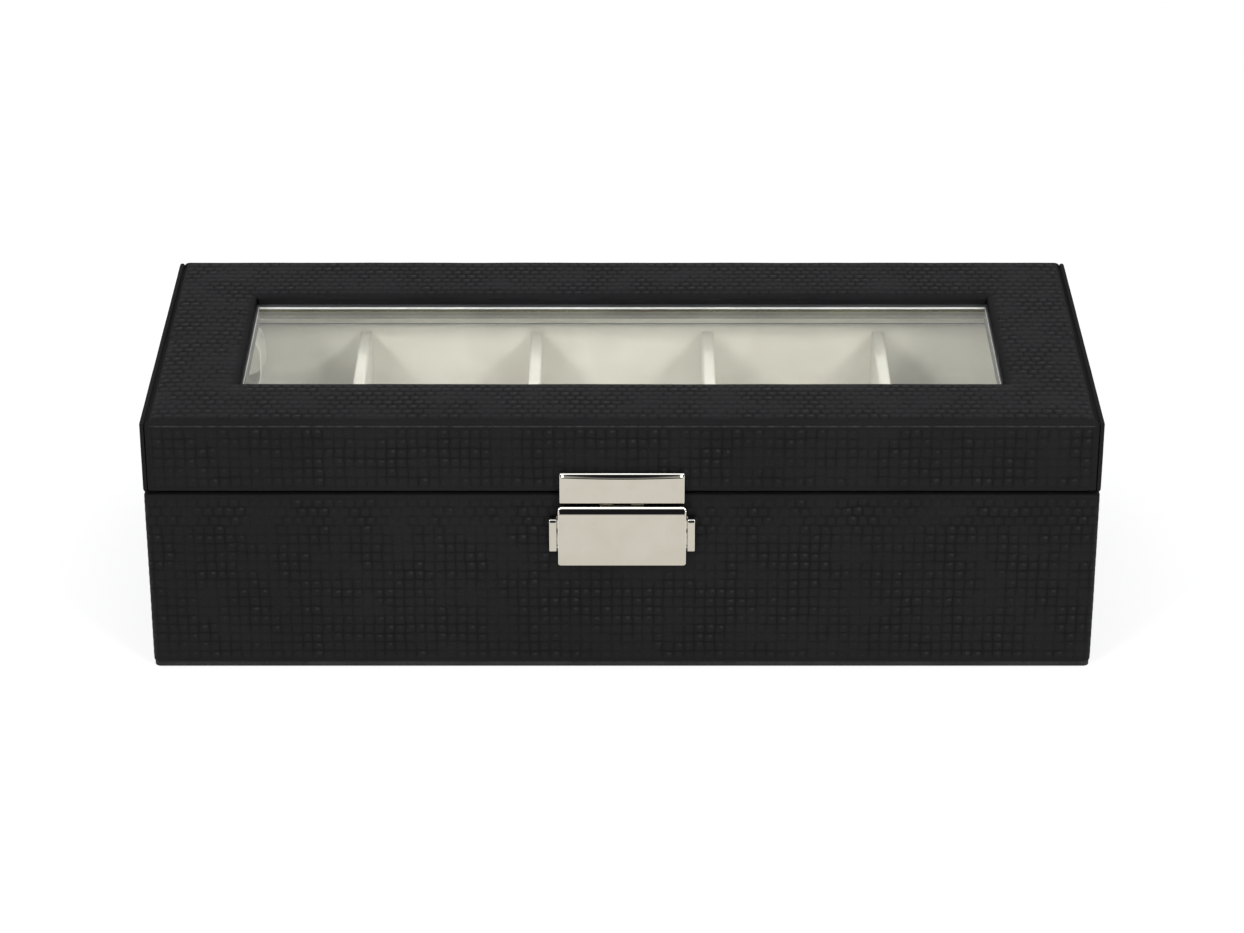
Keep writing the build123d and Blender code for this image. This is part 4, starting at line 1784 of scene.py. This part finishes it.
@dataclass
class PressedPlate:
    """A plate pressed from sheet, facing the front, with rolled edges and a leaning fold at its top."""

    name: str
    low: Sequence[float]
    high: Sequence[float]
    corner: float
    sides: Sequence[Ring]
    top: Sequence[Ring]
    bow: float = 0.0
    wall: float = 0.6
    core: float = 2.2
    rim_rings: int = 3

    def shell(self) -> bpy.types.Mesh:
        """Make the plate's outer surface as rings from its rear edge to its face.

        Returns:
            The plate.
        """
        x0, x1, z0, z1 = self.low[0], self.high[0], self.low[2], self.high[2]
        front = self.low[1]
        r = self.corner
        corners = ((1, 0, -90), (1, 1, 0), (0, 1, 90), (0, 0, 180))
        stations: list[tuple[float, float, float, float]] = []
        for k, (u, v, angle) in enumerate(corners):
            before = corners[k - 1]
            n = math.cos(math.radians(angle)), math.sin(math.radians(angle))
            runs = 24 if before[1] == v else 10
            for step in range(runs):
                t = step / runs
                stations.append((before[0] + (u - before[0]) * t, before[1] + (v - before[1]) * t, *n))
            for step in range(6):
                a = math.radians(angle + 90 * step / 6)
                stations.append((u, v, math.cos(a), math.sin(a)))
        rear = self.sides[0][1], self.top[0][1]
        inside = [
            ((self.core, 0.62), (self.core * 1.4, 0.62)),
            ((self.wall, 0.9), (self.wall + 0.1, 1.35)),
            ((self.wall, rear[0]), (self.wall, rear[1])),
        ]
        outside = list(zip(self.sides, self.top))
        points = []
        for (side_in, side_depth), (top_in, top_depth) in inside + outside:
            turn = max(r - side_in, 0.03)
            left, right, under = x0 + side_in + turn, x1 - side_in - turn, z0 + side_in + turn
            for u, v, nx, nz in stations:
                swell = 1.0 + self.bow * (1.0 - (2 * u - 1) ** 2)
                over = z1 - top_in * swell - turn
                w = v * max(nz, 0.0) ** 2
                depth = side_depth * (1 - w) + top_depth * w
                x = left + (right - left) * u + nx * turn
                points.append((x, front + depth, under + (over - under) * v + nz * turn))
        count, rings = len(stations), len(inside) + len(outside)
        faces: list[tuple[int, ...]] = [
            (
                k * count + c,
                k * count + (c + 1) % count,
                (k + 1) * count + (c + 1) % count,
                (k + 1) * count + c,
            )
            for k in range(rings - 1)
            for c in range(count)
        ]
        faces.append(tuple((rings - 1) * count + c for c in range(count)))
        faces.append(tuple(reversed(range(count))))
        mesh = mesh_from(self.name, np.array(points), faces)
        face_outward(mesh, lambda made: made[len(faces) - 2].normal.y > 0)
        # The first rim_rings rings of the wall take material 1, the painted highlight on the side walls and
        # rolled rim.
        edge = len(inside) * count + np.arange(count * self.rim_rings)
        marked = np.zeros(len(mesh.polygons), dtype=np.int32)
        marked[edge] = 1
        mesh.polygons.foreach_set("material_index", marked)
        return mesh

    def build(self) -> bpy.types.Object:
        """Make the plate as an object."""
        return place_mesh(self.name, self.shell())


@dataclass
class FlipCatch:
    """The catch plate on the lid, and the lever, mount and spring on the base."""

    palette: Palette

    def catch(self) -> None:
        """Press the catch plate, with its tongue behind it."""
        low, high = span("catch_plate")
        tongue_top = high[2] - 9.4
        plate_low = (low[0], low[1], high[2] - 10.4)
        plate = PressedPlate(
            "catch_face",
            plate_low,
            (high[0], high[1], high[2]),
            0.35,
            [
                (0, 2.15),
                (0, 0.5),
                (0.08, 0.22),
                (0.24, 0.06),
                (0.4, 0.0),
                (0.45, 0.0),
                (0.5, 0.0),
                (0.55, 0.0),
                (0.6, 0.0),
                (1.3, 0.0),
            ],
            [
                (0, 2.45),
                (0, 0.9),
                (0.1, 0.58),
                (0.26, 0.44),
                (0.34, 0.405),
                (0.4, 0.38),
                (1.0, 0.1),
                (1.05, 0.06),
                (1.1, 0.0),
                (1.7, 0.0),
            ],
            bow=0.4,
        ).build()
        tongue = soft_block(
            "tongue", (-7.0, high[1] - 0.9, low[2]), (7.0, high[1] - 0.35, tongue_top), 0.2, 0.0, 3
        )
        plate.data = joined("catch_face", [plate.data, tongue])
        finished(plate, self.palette.chrome, "lid", "chrome", "catch_plate", others=[self.palette.rim])

    def lever(self) -> None:
        """Press the lever as a shallow tray with a leaning fold along its top."""
        low, high = span("latch_lever")
        lever = PressedPlate(
            "lever_tray",
            low,
            high,
            0.9,
            [
                (0, 1.5),
                (0, 0.5),
                (0.08, 0.22),
                (0.24, 0.06),
                (0.4, 0.0),
                (0.44, 0.0),
                (0.48, 0.0),
                (0.52, 0.0),
                (0.56, 0.0),
                (0.6, 0.0),
                (1.4, 0.0),
            ],
            [
                (0, 2.65),
                (0, 1.2),
                (0.16, 0.83),
                (0.44, 0.63),
                (0.58, 0.58),
                (0.64, 0.56),
                (2.0, 0.13),
                (2.06, 0.1),
                (2.14, 0.02),
                (2.2, 0.0),
                (3.2, 0.0),
            ],
        ).build()
        finished(
            lever, self.palette.chrome, "catch_lever", "chrome", "latch_lever", others=[self.palette.rim]
        )

    def mount(self) -> None:
        """Make the mount plate and its two ears."""
        low, high = span("latch_mount_plate")
        lever_low, lever_high = span("latch_lever")
        meshes = [soft_block("plate", (low[0], high[1] - 0.8, low[2]), high, 0.25, 0.0, 3)]
        for side in (-1, 1):
            inner, outer = lever_high[0] + 0.25, high[0]
            x0, x1 = sorted((side * inner, side * outer))
            ear = PressedPlate(
                "ear",
                (x0, low[1], low[2]),
                (x1, high[1], high[2]),
                0.35,
                [
                    (0, 2.9),
                    (0, 0.4),
                    (0.06, 0.18),
                    (0.18, 0.05),
                    (0.3, 0.0),
                    (0.36, 0.0),
                    (0.42, 0.0),
                    (0.6, 0.0),
                ],
                [
                    (0, 2.9),
                    (0, 0.6),
                    (0.08, 0.36),
                    (0.2, 0.27),
                    (0.28, 0.25),
                    (0.7, 0.1),
                    (0.85, 0.0),
                    (1.3, 0.0),
                ],
                wall=0.5,
                core=0.9,
            )
            meshes.append(ear.shell())
        mount = place_mesh("lever_mount", joined("lever_mount", meshes))
        finished(mount, self.palette.chrome, "base", "chrome", "latch_mount_plate", others=[self.palette.rim])

    def spring(self) -> None:
        """Bend the leaf spring in its resting shape; it stays fixed to the base and does not flatten as the
        lever is pressed.
        """
        low, high = span("latch_spring")
        path = rounded_path(
            [
                (high[1] - 0.15, high[2]),
                (high[1] - 0.15, high[2] - 2.8),
                (low[1] + 0.3, low[2] + 0.4),
                (low[1] + 0.5, low[2]),
            ],
            [1.2, 0.35],
            6,
            0.6,
        )
        width = np.linspace(low[0], high[0], 7)
        places = np.array([[(x, y, z) for x in width] for y, z in path])
        cells = np.zeros(places.shape)
        leaf = SkinGrid(places, cells).build("lever_spring")
        thicken(leaf, 0.25, 0.0)
        finished(leaf, self.palette.steel, "base", "steel", "latch_spring")
        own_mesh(leaf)

    def build(self) -> None:
        """Make the whole catch."""
        self.catch()
        self.lever()
        self.mount()
        self.spring()


# ---- Fixings for the catch and the hinges ----------------------------------------------


@dataclass
class Fixings:
    """Domed heads with cross slots, stood on the points where the frame has them."""

    palette: Palette

    def head(self, radius: float, height: float, facing: float, slot: float) -> bpy.types.Object:
        """Turn one head, facing along y.

        Args:
            radius: The head's radius, in millimetres.
            height: How far it stands proud.
            facing: -1 to face the front, 1 to face the back.
            slot: Half the width of its cross slot, or 0 for none.

        Returns:
            A pattern object, removed after use.
        """
        rings = [(1.0, 0.0), (1.0, 0.3), (0.93, 0.55), (0.72, 0.82), (0.42, 0.96), (0.16, 1.0)]
        spokes = 24
        points, faces = [], []
        for share, rise in rings:
            for k in range(spokes):
                a = 2 * math.pi * k / spokes
                x, z = math.cos(a) * share * radius, math.sin(a) * share * radius
                sunk = 0.55 * height if slot and min(abs(x), abs(z)) < slot and share < 0.8 else 0.0
                points.append((x, facing * (rise * height - sunk), z))
        points.append((0.0, facing * (height - (0.55 * height if slot else 0.0)), 0.0))
        for r in range(len(rings) - 1):
            for k in range(spokes):
                j = (k + 1) % spokes
                faces.append((r * spokes + k, r * spokes + j, (r + 1) * spokes + j, (r + 1) * spokes + k))
        last = (len(rings) - 1) * spokes
        faces += [(last + k, last + (k + 1) % spokes, len(points) - 1) for k in range(spokes)]
        mesh = mesh_from("head", np.array(points), faces)

        def inward(made: bmesh.types.BMFaceSeq) -> bool:
            """Say whether the foremost face looks into the head."""
            foremost = max(made, key=lambda f: facing * f.calc_center_median().y)
            return foremost.normal.y * facing < 0

        face_outward(mesh, inward)
        return place_mesh("head", mesh)

    def set_in(
        self,
        node: str,
        name: str,
        material: bpy.types.Material,
        slot_name: str,
        body: str,
        facing: float,
        proud: float,
        slot: float,
    ) -> None:
        """Stand heads where the frame node's fixings are.

        Args:
            node: The frame node.
            name: The new piece's name.
            material: Its material.
            slot_name: Its finish slot.
            body: The body that it rides on.
            facing: -1 for the front, 1 for the back.
            proud: How high the heads are, in millimetres.
            slot: Half the width of the cross slots.
        """
        low, high = span(node)
        co = np.array([v.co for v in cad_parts[node].data.vertices]) * 1000
        face = low[1] if facing < 0 else high[1]
        outer = co[np.abs(co[:, 1] - face) < 0.01]
        groups: list[list[np.ndarray]] = []
        for p in outer:
            for group in groups:
                if np.hypot(*(p - group[0])[[0, 2]]) < HEAD_REACH:
                    group.append(p)
                    break
            else:
                groups.append([p])
        centres = [((np.min(g, 0) + np.max(g, 0)) / 2) for g in groups]
        radius = float((np.max(groups[0], 0) - np.min(groups[0], 0))[0] / 2)
        mesh = bpy.data.meshes.new(name)
        mesh.from_pydata([(c[0] * MM, (face - facing * proud) * MM, c[2] * MM) for c in centres], [], [])
        piece = place_mesh(name, mesh)
        head = self.head(radius, proud, facing, slot)
        grown(piece, fixings_tree(), material, Head=head, Seed=5)
        bpy.data.objects.remove(head)
        finished(piece, material, body, slot_name, node)

    def build(self) -> None:
        """Make the nails and screws."""
        self.set_in(
            "latch_mount_nails", "mount_nail_heads", self.palette.steel, "steel", "base", -1, 0.4, 0.0
        )
        self.set_in(
            "hinge_base_screws", "base_screw_heads", self.palette.nickel, "hinge_metal", "base", 1, 0.6, 0.22
        )
        self.set_in(
            "hinge_lid_screws", "lid_screw_heads", self.palette.nickel, "hinge_metal", "lid", 1, 0.6, 0.22
        )


# ---- Ribbon and pillows ----------------------------------------------------------------


@dataclass
class StayRibbon:
    """The satin ribbon from the base's left lining to the lid's, its slack curling into the compartment."""

    palette: Palette
    width: float = 14.0
    thickness: float = 0.4
    glue: float = 0.25
    tuck: float = 3.2

    def build(self) -> bpy.types.Object:
        """Weave the ribbon along its curl.

        Returns:
            The ribbon.
        """
        low, high = span("lid_stay_ribbon")
        liner = span("lid_liner_frame")[0][2]
        rim = span("base_leather_wrap")[1][2]
        room = span("lining_left")[1][0]
        lid_room = span("lid_lining_left")[1][0]
        lid_bottom = span("lid_lining_left")[0][2]
        base_x, lid_x, bulge = room + self.glue, lid_room + self.glue, high[0] - self.tuck
        middle = (base_x + bulge) / 2
        path = rounded_path(
            [
                (base_x, low[2]),
                (base_x, rim - 4.0),
                (middle, rim - 11.5),
                (bulge, rim - 8.0),
                (bulge, liner - 8.7),
                (middle, liner - 4.2),
                (lid_x, lid_bottom + 1.5),
                (lid_x, liner - 2.2),
            ],
            [1.5, 10.0, 7.0, 7.0, 10.0, 1.5],
            12,
            1.2,
        )
        steps = np.r_[0, np.cumsum(np.linalg.norm(np.diff(path, axis=0), axis=1))]
        length = float(steps[-1])
        across = np.linspace(low[1], high[1], 15)
        centre = (low[1] + high[1]) / 2
        tangent = np.gradient(path, axis=0)
        tangent /= np.linalg.norm(tangent, axis=1)[:, None]
        normal = np.column_stack([tangent[:, 1], -tangent[:, 0]])
        free = np.clip(np.minimum(steps - 12.0, length - 8.0 - steps) / 8.0, 0, 1)
        places, cells = [], []
        for (x, z), (nx, nz), t, loose in zip(path, normal, steps, free):
            cup = 0.35 * loose * ((across - centre) / (self.width / 2)) ** 2
            skew = 0.25 * loose * math.sin(t * 0.21) * (across - centre) / (self.width / 2)
            shift = cup + skew
            places.append(np.column_stack([x + nx * shift, across, z + nz * shift]))
            cells.append(np.column_stack([np.full(15, t), across - low[1], np.zeros(15)]))
        band = SkinGrid(np.array(places), np.array(cells)).build("stay_ribbon")
        thicken(band, self.thickness, 0.0)
        band.data.materials.clear()
        band.data.materials.append(self.palette.ribbon)
        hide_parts("lid_stay_ribbon")
        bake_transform(band)
        log.info("stay_ribbon: %.1f mm long", length)
        return band


@dataclass
class WatchPillows:
    """Five soft velvet pillows, puffed up once and laid in every compartment."""

    palette: Palette
    shrink: float = 2.2
    cap: float = 2.6

    def start_form(self, size: np.ndarray) -> bpy.types.Mesh:
        """Make the slack form that is puffed up.

        Args:
            size: The pillow's size, in millimetres.

        Returns:
            A rounded block about the origin.
        """
        half = size / 2 - self.shrink
        return soft_block("pillow_form", -half, half, min(float(half.min()) * 0.62, 10.0), 0.0, 6)

    def puff(self, size: np.ndarray) -> bpy.types.Mesh:
        """Puff one pillow up with cloth under pressure.

        Args:
            size: The pillow's size, in millimetres.

        Returns:
            The pillow's mesh about the origin, in metres.
        """
        form = place_mesh("pillow_form", self.start_form(size))
        remesh = form.modifiers.new("even", "REMESH")
        remesh.mode, remesh.voxel_size, remesh.use_smooth_shade = "VOXEL", 0.0042, True
        even = settled_mesh(form)
        form.modifiers.remove(remesh)
        form.data = even
        start = np.array([v.co for v in even.vertices])
        cloth = form.modifiers.new("puff", "CLOTH")
        cloth.settings.quality = 6
        cloth.settings.mass = 0.25
        cloth.settings.tension_stiffness = 12.0
        cloth.settings.compression_stiffness = 12.0
        cloth.settings.bending_stiffness = 0.6
        cloth.settings.use_pressure = True
        cloth.settings.uniform_pressure_force = 4.0
        cloth.settings.effector_weights.gravity = 0.0
        scene = bpy.context.scene
        first = scene.frame_current
        for number in range(1, 21):
            scene.frame_set(number)
        puffed = settled_mesh(form)
        form.modifiers.remove(cloth)
        scene.frame_set(first)
        moved = np.array([v.co for v in puffed.vertices])
        step = moved - start
        far = np.linalg.norm(step, axis=1)[:, None]
        step *= np.minimum(1.0, self.cap * MM / np.maximum(far, 1e-9))
        puffed.vertices.foreach_set("co", (start + step).astype(np.float32).ravel())
        form.data = puffed
        smooth = form.modifiers.new("smooth", "SUBSURF")
        smooth.levels = smooth.render_levels = 1
        result = settled_mesh(form)
        bpy.data.objects.remove(form)
        co = np.array([v.co for v in result.vertices])
        centre, full = (co.max(0) + co.min(0)) / 2, co.max(0) - co.min(0)
        co = (co - centre) * (size * MM * 0.992 / full)
        result.vertices.foreach_set("co", co.astype(np.float32).ravel())
        result.polygons.foreach_set("use_smooth", [True] * len(result.polygons))
        result.update()
        return result

    def seam(self, mesh: bpy.types.Mesh, size: np.ndarray) -> bpy.types.Mesh:
        """Lay piping round both ends of the pillow.

        Args:
            mesh: The puffed pillow about the origin.
            size: Its size, in millimetres.

        Returns:
            The piping's mesh.
        """
        work = bmesh.new()
        work.from_mesh(mesh)
        tree = BVHTree.FromBMesh(work)
        work.free()
        points, edges = [], []
        for side in (-1, 1):
            first = len(points)
            x = side * (size[0] / 2 - 5.0) * MM
            for k in range(96):
                a = 2 * math.pi * k / 96
                way = Vector((0, math.cos(a), math.sin(a)))
                hit = tree.ray_cast(Vector((x, 0, 0)) + way * 0.2, -way)[0]
                points.append(hit + way * 0.00005)
                edges.append((first + k, first + (k + 1) % 96))
        line = bpy.data.meshes.new("pillow_seam")
        line.from_pydata([tuple(p) for p in points], edges, [])
        piece = place_mesh("pillow_seam", line)
        grown(piece, piping_tree(), self.palette.pillow, Count=150, Radius=0.0006)
        made = piece.data.copy()
        bpy.data.objects.remove(piece)
        return made

    def build(self) -> None:
        """Puff one pillow and lay a copy in each compartment."""
        low, high = span("pillow_1")
        size = high - low
        body = self.puff(size)
        whole = joined("pillow_whole", [body, self.seam(body, size)])
        limit = np.array([size / 2 * MM])
        for number in range(1, 6):
            low, high = span(f"pillow_{number}")
            mesh = whole.copy()
            co = np.array([v.co for v in mesh.vertices])
            if number % 2 == 0:
                co[:, :2] *= -1
            co = np.clip(co, -limit, limit) + (low + high) / 2 * MM
            mesh.vertices.foreach_set("co", co.astype(np.float32).ravel())
            mesh.polygons.foreach_set("use_smooth", [True] * len(mesh.polygons))
            mesh.update()
            piece = place_mesh(f"velvet_pillow_{number}", mesh)
            finished(piece, self.palette.pillow, f"pillow_{number}", "pillow", f"pillow_{number}")


@dataclass
class FrameDress:
    """Finishes for the frame's own nodes that stay in sight or inside."""

    palette: Palette

    def build(self) -> None:
        """Give each node that is left its finish."""
        p = self.palette
        chosen = {
            "underside_cover": p.felt,
            "glass_pane": p.glass,
            "latch_pivot_pin": p.steel,
            "catch_studs": p.steel,
        }
        for name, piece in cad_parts.items():
            material = chosen.get(name)
            if material is None and name.startswith("hinge_"):
                material = p.nickel
            if material is None and ("board" in name or name == "lid_top_panel"):
                material = p.board
            if material is None and not piece.hide_render:
                material = p.plain_leather
            if material is None:
                continue
            piece.data.materials.clear()
            piece.data.materials.append(material)
            log.info("%s: %s", name, material.name)


# ---- Studio ----------------------------------------------------------------------------


@dataclass(frozen=True)
class Lamp:
    """One soft rectangular lamp that looks at the box."""

    name: str
    place: tuple[float, float, float]
    size: tuple[float, float]
    power: float
    colour: Colour = (1.0, 1.0, 1.0)
    aim: tuple[float, float, float] = (0.0, 0.0, 0.05)

    def build(self) -> None:
        """Hang the lamp."""
        data = bpy.data.lights.new(self.name, "AREA")
        data.shape, data.size, data.size_y = "RECTANGLE", *self.size
        data.energy, data.color = self.power, self.colour
        lamp = bpy.data.objects.new(self.name, data)
        lamp.location = self.place
        way = Vector(self.aim) - Vector(self.place)
        lamp.rotation_euler = way.to_track_quat("-Z", "Y").to_euler()
        bpy.context.scene.collection.objects.link(lamp)


@dataclass
class Studio:
    """A pale floor, a soft sky, the lamps and the camera."""

    elevation: float = 26.66
    distance: float = 1.2558
    lens: float = 110.01
    aim_height: float = 0.0405
    reach: float = 6000.0
    floor_gap: float = 0.3
    lamps: Sequence[Lamp] = (
        Lamp("left_soft", (-0.65, -0.95, 0.75), (0.24, 0.24), 5.3),
        Lamp("right_soft", (0.65, -0.95, 0.75), (0.24, 0.24), 5.3),
        Lamp("top_soft", (0.0, -0.3, 1.35), (1.2, 0.8), 5.0),
    )

    def camera(self) -> None:
        """Stand the camera in front of the box, looking down at it."""
        data = bpy.data.cameras.new("camera")
        data.lens, data.sensor_width, data.sensor_fit = self.lens, 36.0, "HORIZONTAL"
        data.clip_start, data.clip_end = 0.05, 50.0
        camera = bpy.data.objects.new("camera", data)
        tilt = math.radians(self.elevation)
        camera.location = (
            0.0, -self.distance * math.cos(tilt), self.aim_height + self.distance * math.sin(tilt)
        )
        camera.rotation_euler = (math.pi / 2 - tilt, 0.0, 0.0)
        bpy.context.scene.collection.objects.link(camera)
        bpy.context.scene.camera = camera

    def floor(self) -> None:
        """Lay a wide pale floor under the box."""
        corners = [
            (x * self.reach, y * self.reach, -self.floor_gap) for x, y in ((-1, -1), (1, -1), (1, 1), (-1, 1))
        ]
        mesh = mesh_from("floor", np.array(corners), [(0, 1, 2, 3)])
        floor = place_mesh("floor", mesh)
        paint = Paint("pale_floor", Roughness=0.9, Specular_IOR_Level=0.1)
        tone = paint.g.noise(paint.place, 3.0)
        paint.set(Base_Color=paint.g.mix(tone, opaque((0.28, 0.28, 0.28)), opaque((0.31, 0.31, 0.31))))
        paint.shader.inputs["Emission Color"].default_value = (1.0, 1.0, 1.0, 1.0)
        paint.shader.inputs["Emission Strength"].default_value = 0.76
        floor.data.materials.append(paint.material)

    def sky(self) -> None:
        """Light the studio: pale above, darker towards the horizon in front."""
        world = bpy.data.worlds.new("studio")
        bpy.context.scene.world = world
        world.use_nodes = True
        world.node_tree.nodes.clear()
        g = Graph(world.node_tree)
        way = g.add("ShaderNodeSeparateXYZ", g.add("ShaderNodeTexCoord").outputs["Generated"])
        high = g.ramp(way.outputs[2], 0.28, 0.6)
        behind = g.ramp(way.outputs[1], -0.1, 0.35)
        lit = g.math("MAXIMUM", high, behind)
        colour = g.mix(lit, opaque((0.018, 0.018, 0.022)), opaque((0.60, 0.605, 0.62)))
        g.add("ShaderNodeOutputWorld", g.add("ShaderNodeBackground", colour, 1.0))

    def build(self) -> None:
        """Set up the whole studio."""
        scene = bpy.context.scene
        scene.view_settings.view_transform = "Standard"
        scene.view_settings.look = "None"
        scene.view_settings.exposure = 0.0
        self.floor()
        self.sky()
        for lamp in self.lamps:
            lamp.build()
        self.camera()


def main() -> None:
    """Build every piece in order."""
    logging.basicConfig(level=logging.INFO, format="%(name)s %(message)s")
    palette = Palette()
    Studio().build()
    BaseCase(palette).build()
    LidCase(palette).build()
    FlipCatch(palette).build()
    Fixings(palette).build()
    StayRibbon(palette).build()
    WatchPillows(palette).build()
    FrameDress(palette).build()
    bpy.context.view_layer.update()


if __name__ == "__main__":
    main()
